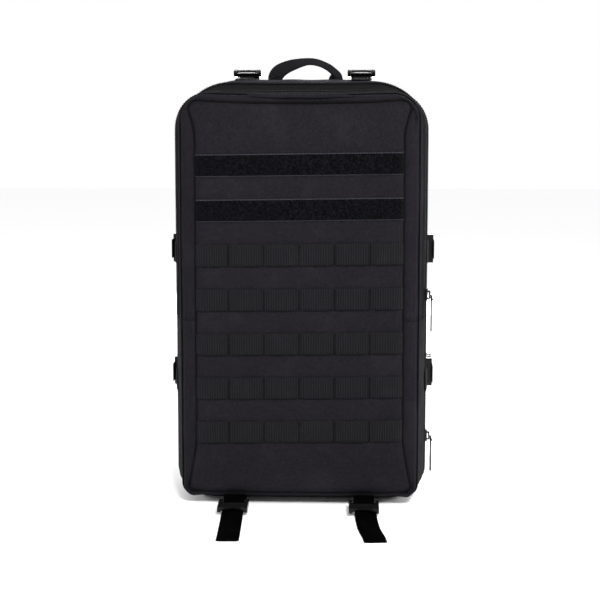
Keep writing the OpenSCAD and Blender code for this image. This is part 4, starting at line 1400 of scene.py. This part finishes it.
strap_l = mirror_x(strap, "shoulder_strap_left_cushion")
ride(strap, "strap_right", "pack_cloth", "shoulder_strap_right")
ride(strap_l, "strap_left", "pack_cloth", "shoulder_strap_left")

for side, s in (("left", -1), ("right", 1)):
    body = f"strap_{side}"
    # binding round the strap's edge
    ring = []
    for t in np.linspace(0.01, 0.99, 50):
        c = strap_line(t)
        ring.append((s * (c[0] + strap_half(t) - 0.8), c[1], c[2]))
    for t in np.linspace(0.99, 0.01, 50):
        c = strap_line(t)
        ring.append((s * (c[0] - strap_half(t) + 0.8), c[1], c[2]))
    q = smooth_path(np.array(ring + [ring[0]]), 180)[:-1]
    o = tube(f"strap_binding_{side}", q, 1.9, WEB, closed=True, k=8)
    ride(o, body, "webbing")
    # cloth wrapped over the strap's end, sewn to the yoke
    pts = [(111.6, 444), (111.2, 452), (111.6, 459), (114.2, 463.2), (119.0, 463.6), (123.6, 460.6), (126.6, 454.5), (128.6, 446), (130.2, 438)]
    o = band(f"strap_root_{side}", smooth_path(yz(pts, s * 60), 60), (1, 0, 0), 58, 1.2, CLOTH)
    ride(o, body, "pack_cloth")
    for zz, yy in ((441, 131.3), (446, 129.9)):
        st = stitches(f"strap_root_stitch_{side}_{zz}", np.array([[s * 60 - 27, yy, zz], [s * 60 + 27, yy, zz]]), (0, 1, 0.3))
        ride(st, body, "pack_cloth")
    # webbing down the outer face, tacked at intervals, holding the ring
    ring_pos = jpos(f"ring_{side}_swing")
    pts = []
    for t in np.linspace(0.05, 0.985, 40):
        c = strap_line(t)
        g = strap_line(min(1, t + 0.01)) - strap_line(max(0, t - 0.01))
        nrm = np.array([0, -g[2], g[1]])
        nrm /= np.linalg.norm(nrm)
        pts.append((s * c[0], *(c + nrm * 5.5)[1:]))
    o = band(f"strap_long_web_{side}", smooth_path(np.array(pts), 90), (1, 0, 0), 24, 1.1, WEB)
    ride(o, body, "webbing")
    for t in (0.08, 0.2, 0.36, 0.55, 0.7, 0.86):
        c = strap_line(t)
        st = stitches(f"strap_tack_{side}_{int(t * 100)}", np.array([[s * c[0] - 10, c[1] + 6.9, c[2]], [s * c[0] + 10, c[1] + 6.9, c[2]]]), (0, 1, 0), pitch=1.6, length=1.4, r=0.5)
        ride(st, body, "webbing")
    # keeper round the ring's bar
    rx, ry, rz = ring_pos
    pts = [(ry - 2.6, rz + 15), (ry - 2.2, rz + 8), (ry - 0.6, rz + 3.2)] + [(ry + 2.7 * math.cos(a), rz + 2.7 * math.sin(a)) for a in np.linspace(1.3, -1.57, 10)] + [(ry - 1.6, rz - 2.7), (ry - 2.8, rz - 3.4)]
    o = band(f"ring_keeper_{side}", smooth_path(yz(pts, rx), 50), (1, 0, 0) , 19, 0.8, WEB)
    ride(o, body, "webbing")
    # chest strap
    sy = lo(f"strap_webbing_{side}")
    sc = hi(f"strap_webbing_{side}")
    zc = 376
    yy = hi("sternum_buckle_female")[1]
    y_web = lo("sternum_buckle_female")[1] - 1.6
    if s > 0:
        xs = [96, 90, 72, 50, 30, 19]
    else:
        xs = [-96, -90, -72, -52, -42, -36]
    ysx = [y_web - 1.0, y_web + 0.2, y_web + 0.6, y_web + 0.2, y_web, y_web]
    p = smooth_path(np.array([(x, y, zc) for x, y in zip(xs, ysx)]), 40)
    o = band(f"chest_web_{side}", p, (0, 0, 1) if s < 0 else (0, 0, -1), 19.5, 1.1, WEB)
    ride(o, body, "webbing", f"strap_webbing_{side}")
    # loop that joins the lower lock to the strap
    ll, lh = lo(f"lower_ladderlock_{side}"), hi(f"lower_ladderlock_{side}")
    cxx = (ll[0] + lh[0]) / 2
    by, bz = 120.0, lh[2] - 2.6
    pts = [(117.6, 172), (117.0, 158), (116.6, 150)] + [(by + 3.0 * math.cos(a), bz + 3.0 * math.sin(a)) for a in np.linspace(PI, 2 * PI, 12)] + [(123.6, 150), (124.6, 160), (125.0, 172)]
    pts = [(121.5, 168), (119.0, 156), (117.2, 149)] + [(by + 2.9 * math.cos(a), bz + 2.9 * math.sin(a)) for a in np.linspace(PI, 2 * PI, 12)] + [(123.2, 149), (124.2, 156), (127.6, 168)]
    o = band(f"lock_loop_{side}", smooth_path(yz(pts, cxx), 60), (1, 0, 0), 24, 1.0, WEB)
    ride(o, body, "webbing")
    # lower web: from the anchor up through the lock, bending between pack and strap
    pts = [(104.6, 30), (106.0, 38), (109.6, 50), (112.6, 60), (113.4, 74), (114.0, 96), (115.0, 110), (116.0, 120), (116.6, 130), (118.2, 136), (121.8, 137.2), (124.2, 133), (124.8, 124), (125.4, 112), (126.2, 98), (126.6, 84)]
    o = band(f"lower_web_{side}_run", smooth_path(yz(pts, cxx), 120), (1, 0, 0), 24.2, 1.2, WEB)
    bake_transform(o)
    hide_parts(f"lower_web_{side}")
    # anchor patch
    al2, ah2 = lo("lower_strap_anchors"), hi("lower_strap_anchors")
    R, C = 12, 12
    P = np.zeros((R, C, 3))
    T = np.zeros((R, C, 3))
    for j in range(R):
        z = al2[2] + (ah2[2] - al2[2]) * j / (R - 1)
        w = 15.6 if z < 44 else 15.6 - 3.6 * (z - 44) / 14
        for i in range(C):
            u = -1 + 2 * i / (C - 1)
            P[j, i] = (cxx + u * w, 100.0, z)
            T[j, i] = (0, 1.2 + 2.2 * ease((1 - abs(u)) / 0.4) * ease(min(j, R - 1 - j) / 3), 0)
    V, F = slab(P, T)
    o = make(f"strap_anchor_{side}", V, F, CLOTH_OBJ)
    m = o.modifiers.new("smooth", "SUBSURF")
    m.levels = m.render_levels = 1
    ride(o, "pack", "pack_cloth", "lower_strap_anchors")

# ------------------------------------------------------------------ floor and light
me = bpy.data.meshes.new("floor")
me.from_pydata([(-9, -9, 0), (9, -9, 0), (9, 9, 0), (-9, 9, 0)], [], [(0, 1, 2, 3)])
floor = bpy.data.objects.new("floor", me)
SCENE.collection.objects.link(floor)
fm = Nodes("floor_pale")
fm.b.inputs["Base Color"].default_value = (0.96, 0.96, 0.96, 1)
fm.b.inputs["Roughness"].default_value = 0.9
fm.b.inputs["Specular IOR Level"].default_value = 0.1
me.materials.append(fm.mat)

world = bpy.data.worlds.new("studio")
SCENE.world = world
world.use_nodes = True
bg = world.node_tree.nodes["Background"]
bg.inputs[0].default_value = (1, 1, 1, 1)
bg.inputs[1].default_value = 1.0


def area(name, loc, target, size, power, size_y=None):
    l = bpy.data.lights.new(name, "AREA")
    l.energy = power
    l.size = size
    if size_y:
        l.shape = "RECTANGLE"
        l.size_y = size_y
    o = bpy.data.objects.new(name, l)
    SCENE.collection.objects.link(o)
    o.location = loc
    o.rotation_euler = (Vector(target) - Vector(loc)).to_track_quat("-Z", "Y").to_euler()
    return o


key = area("key", (0.5, -1.9, 1.45), (0, -0.1, 0.42), 0.6, 13.5)
key.data.spread = math.radians(70)
area("fill", (-1.9, -0.3, 0.9), (0, 0, 0.25), 0.9, 12)
area("back_light", (0.1, 2.0, 0.6), (0, 0.1, 0.3), 1.0, 26)
area("side_light", (2.0, -0.15, 0.9), (0, 0, 0.3), 0.9, 16)

SCENE.view_settings.view_transform = "Standard"
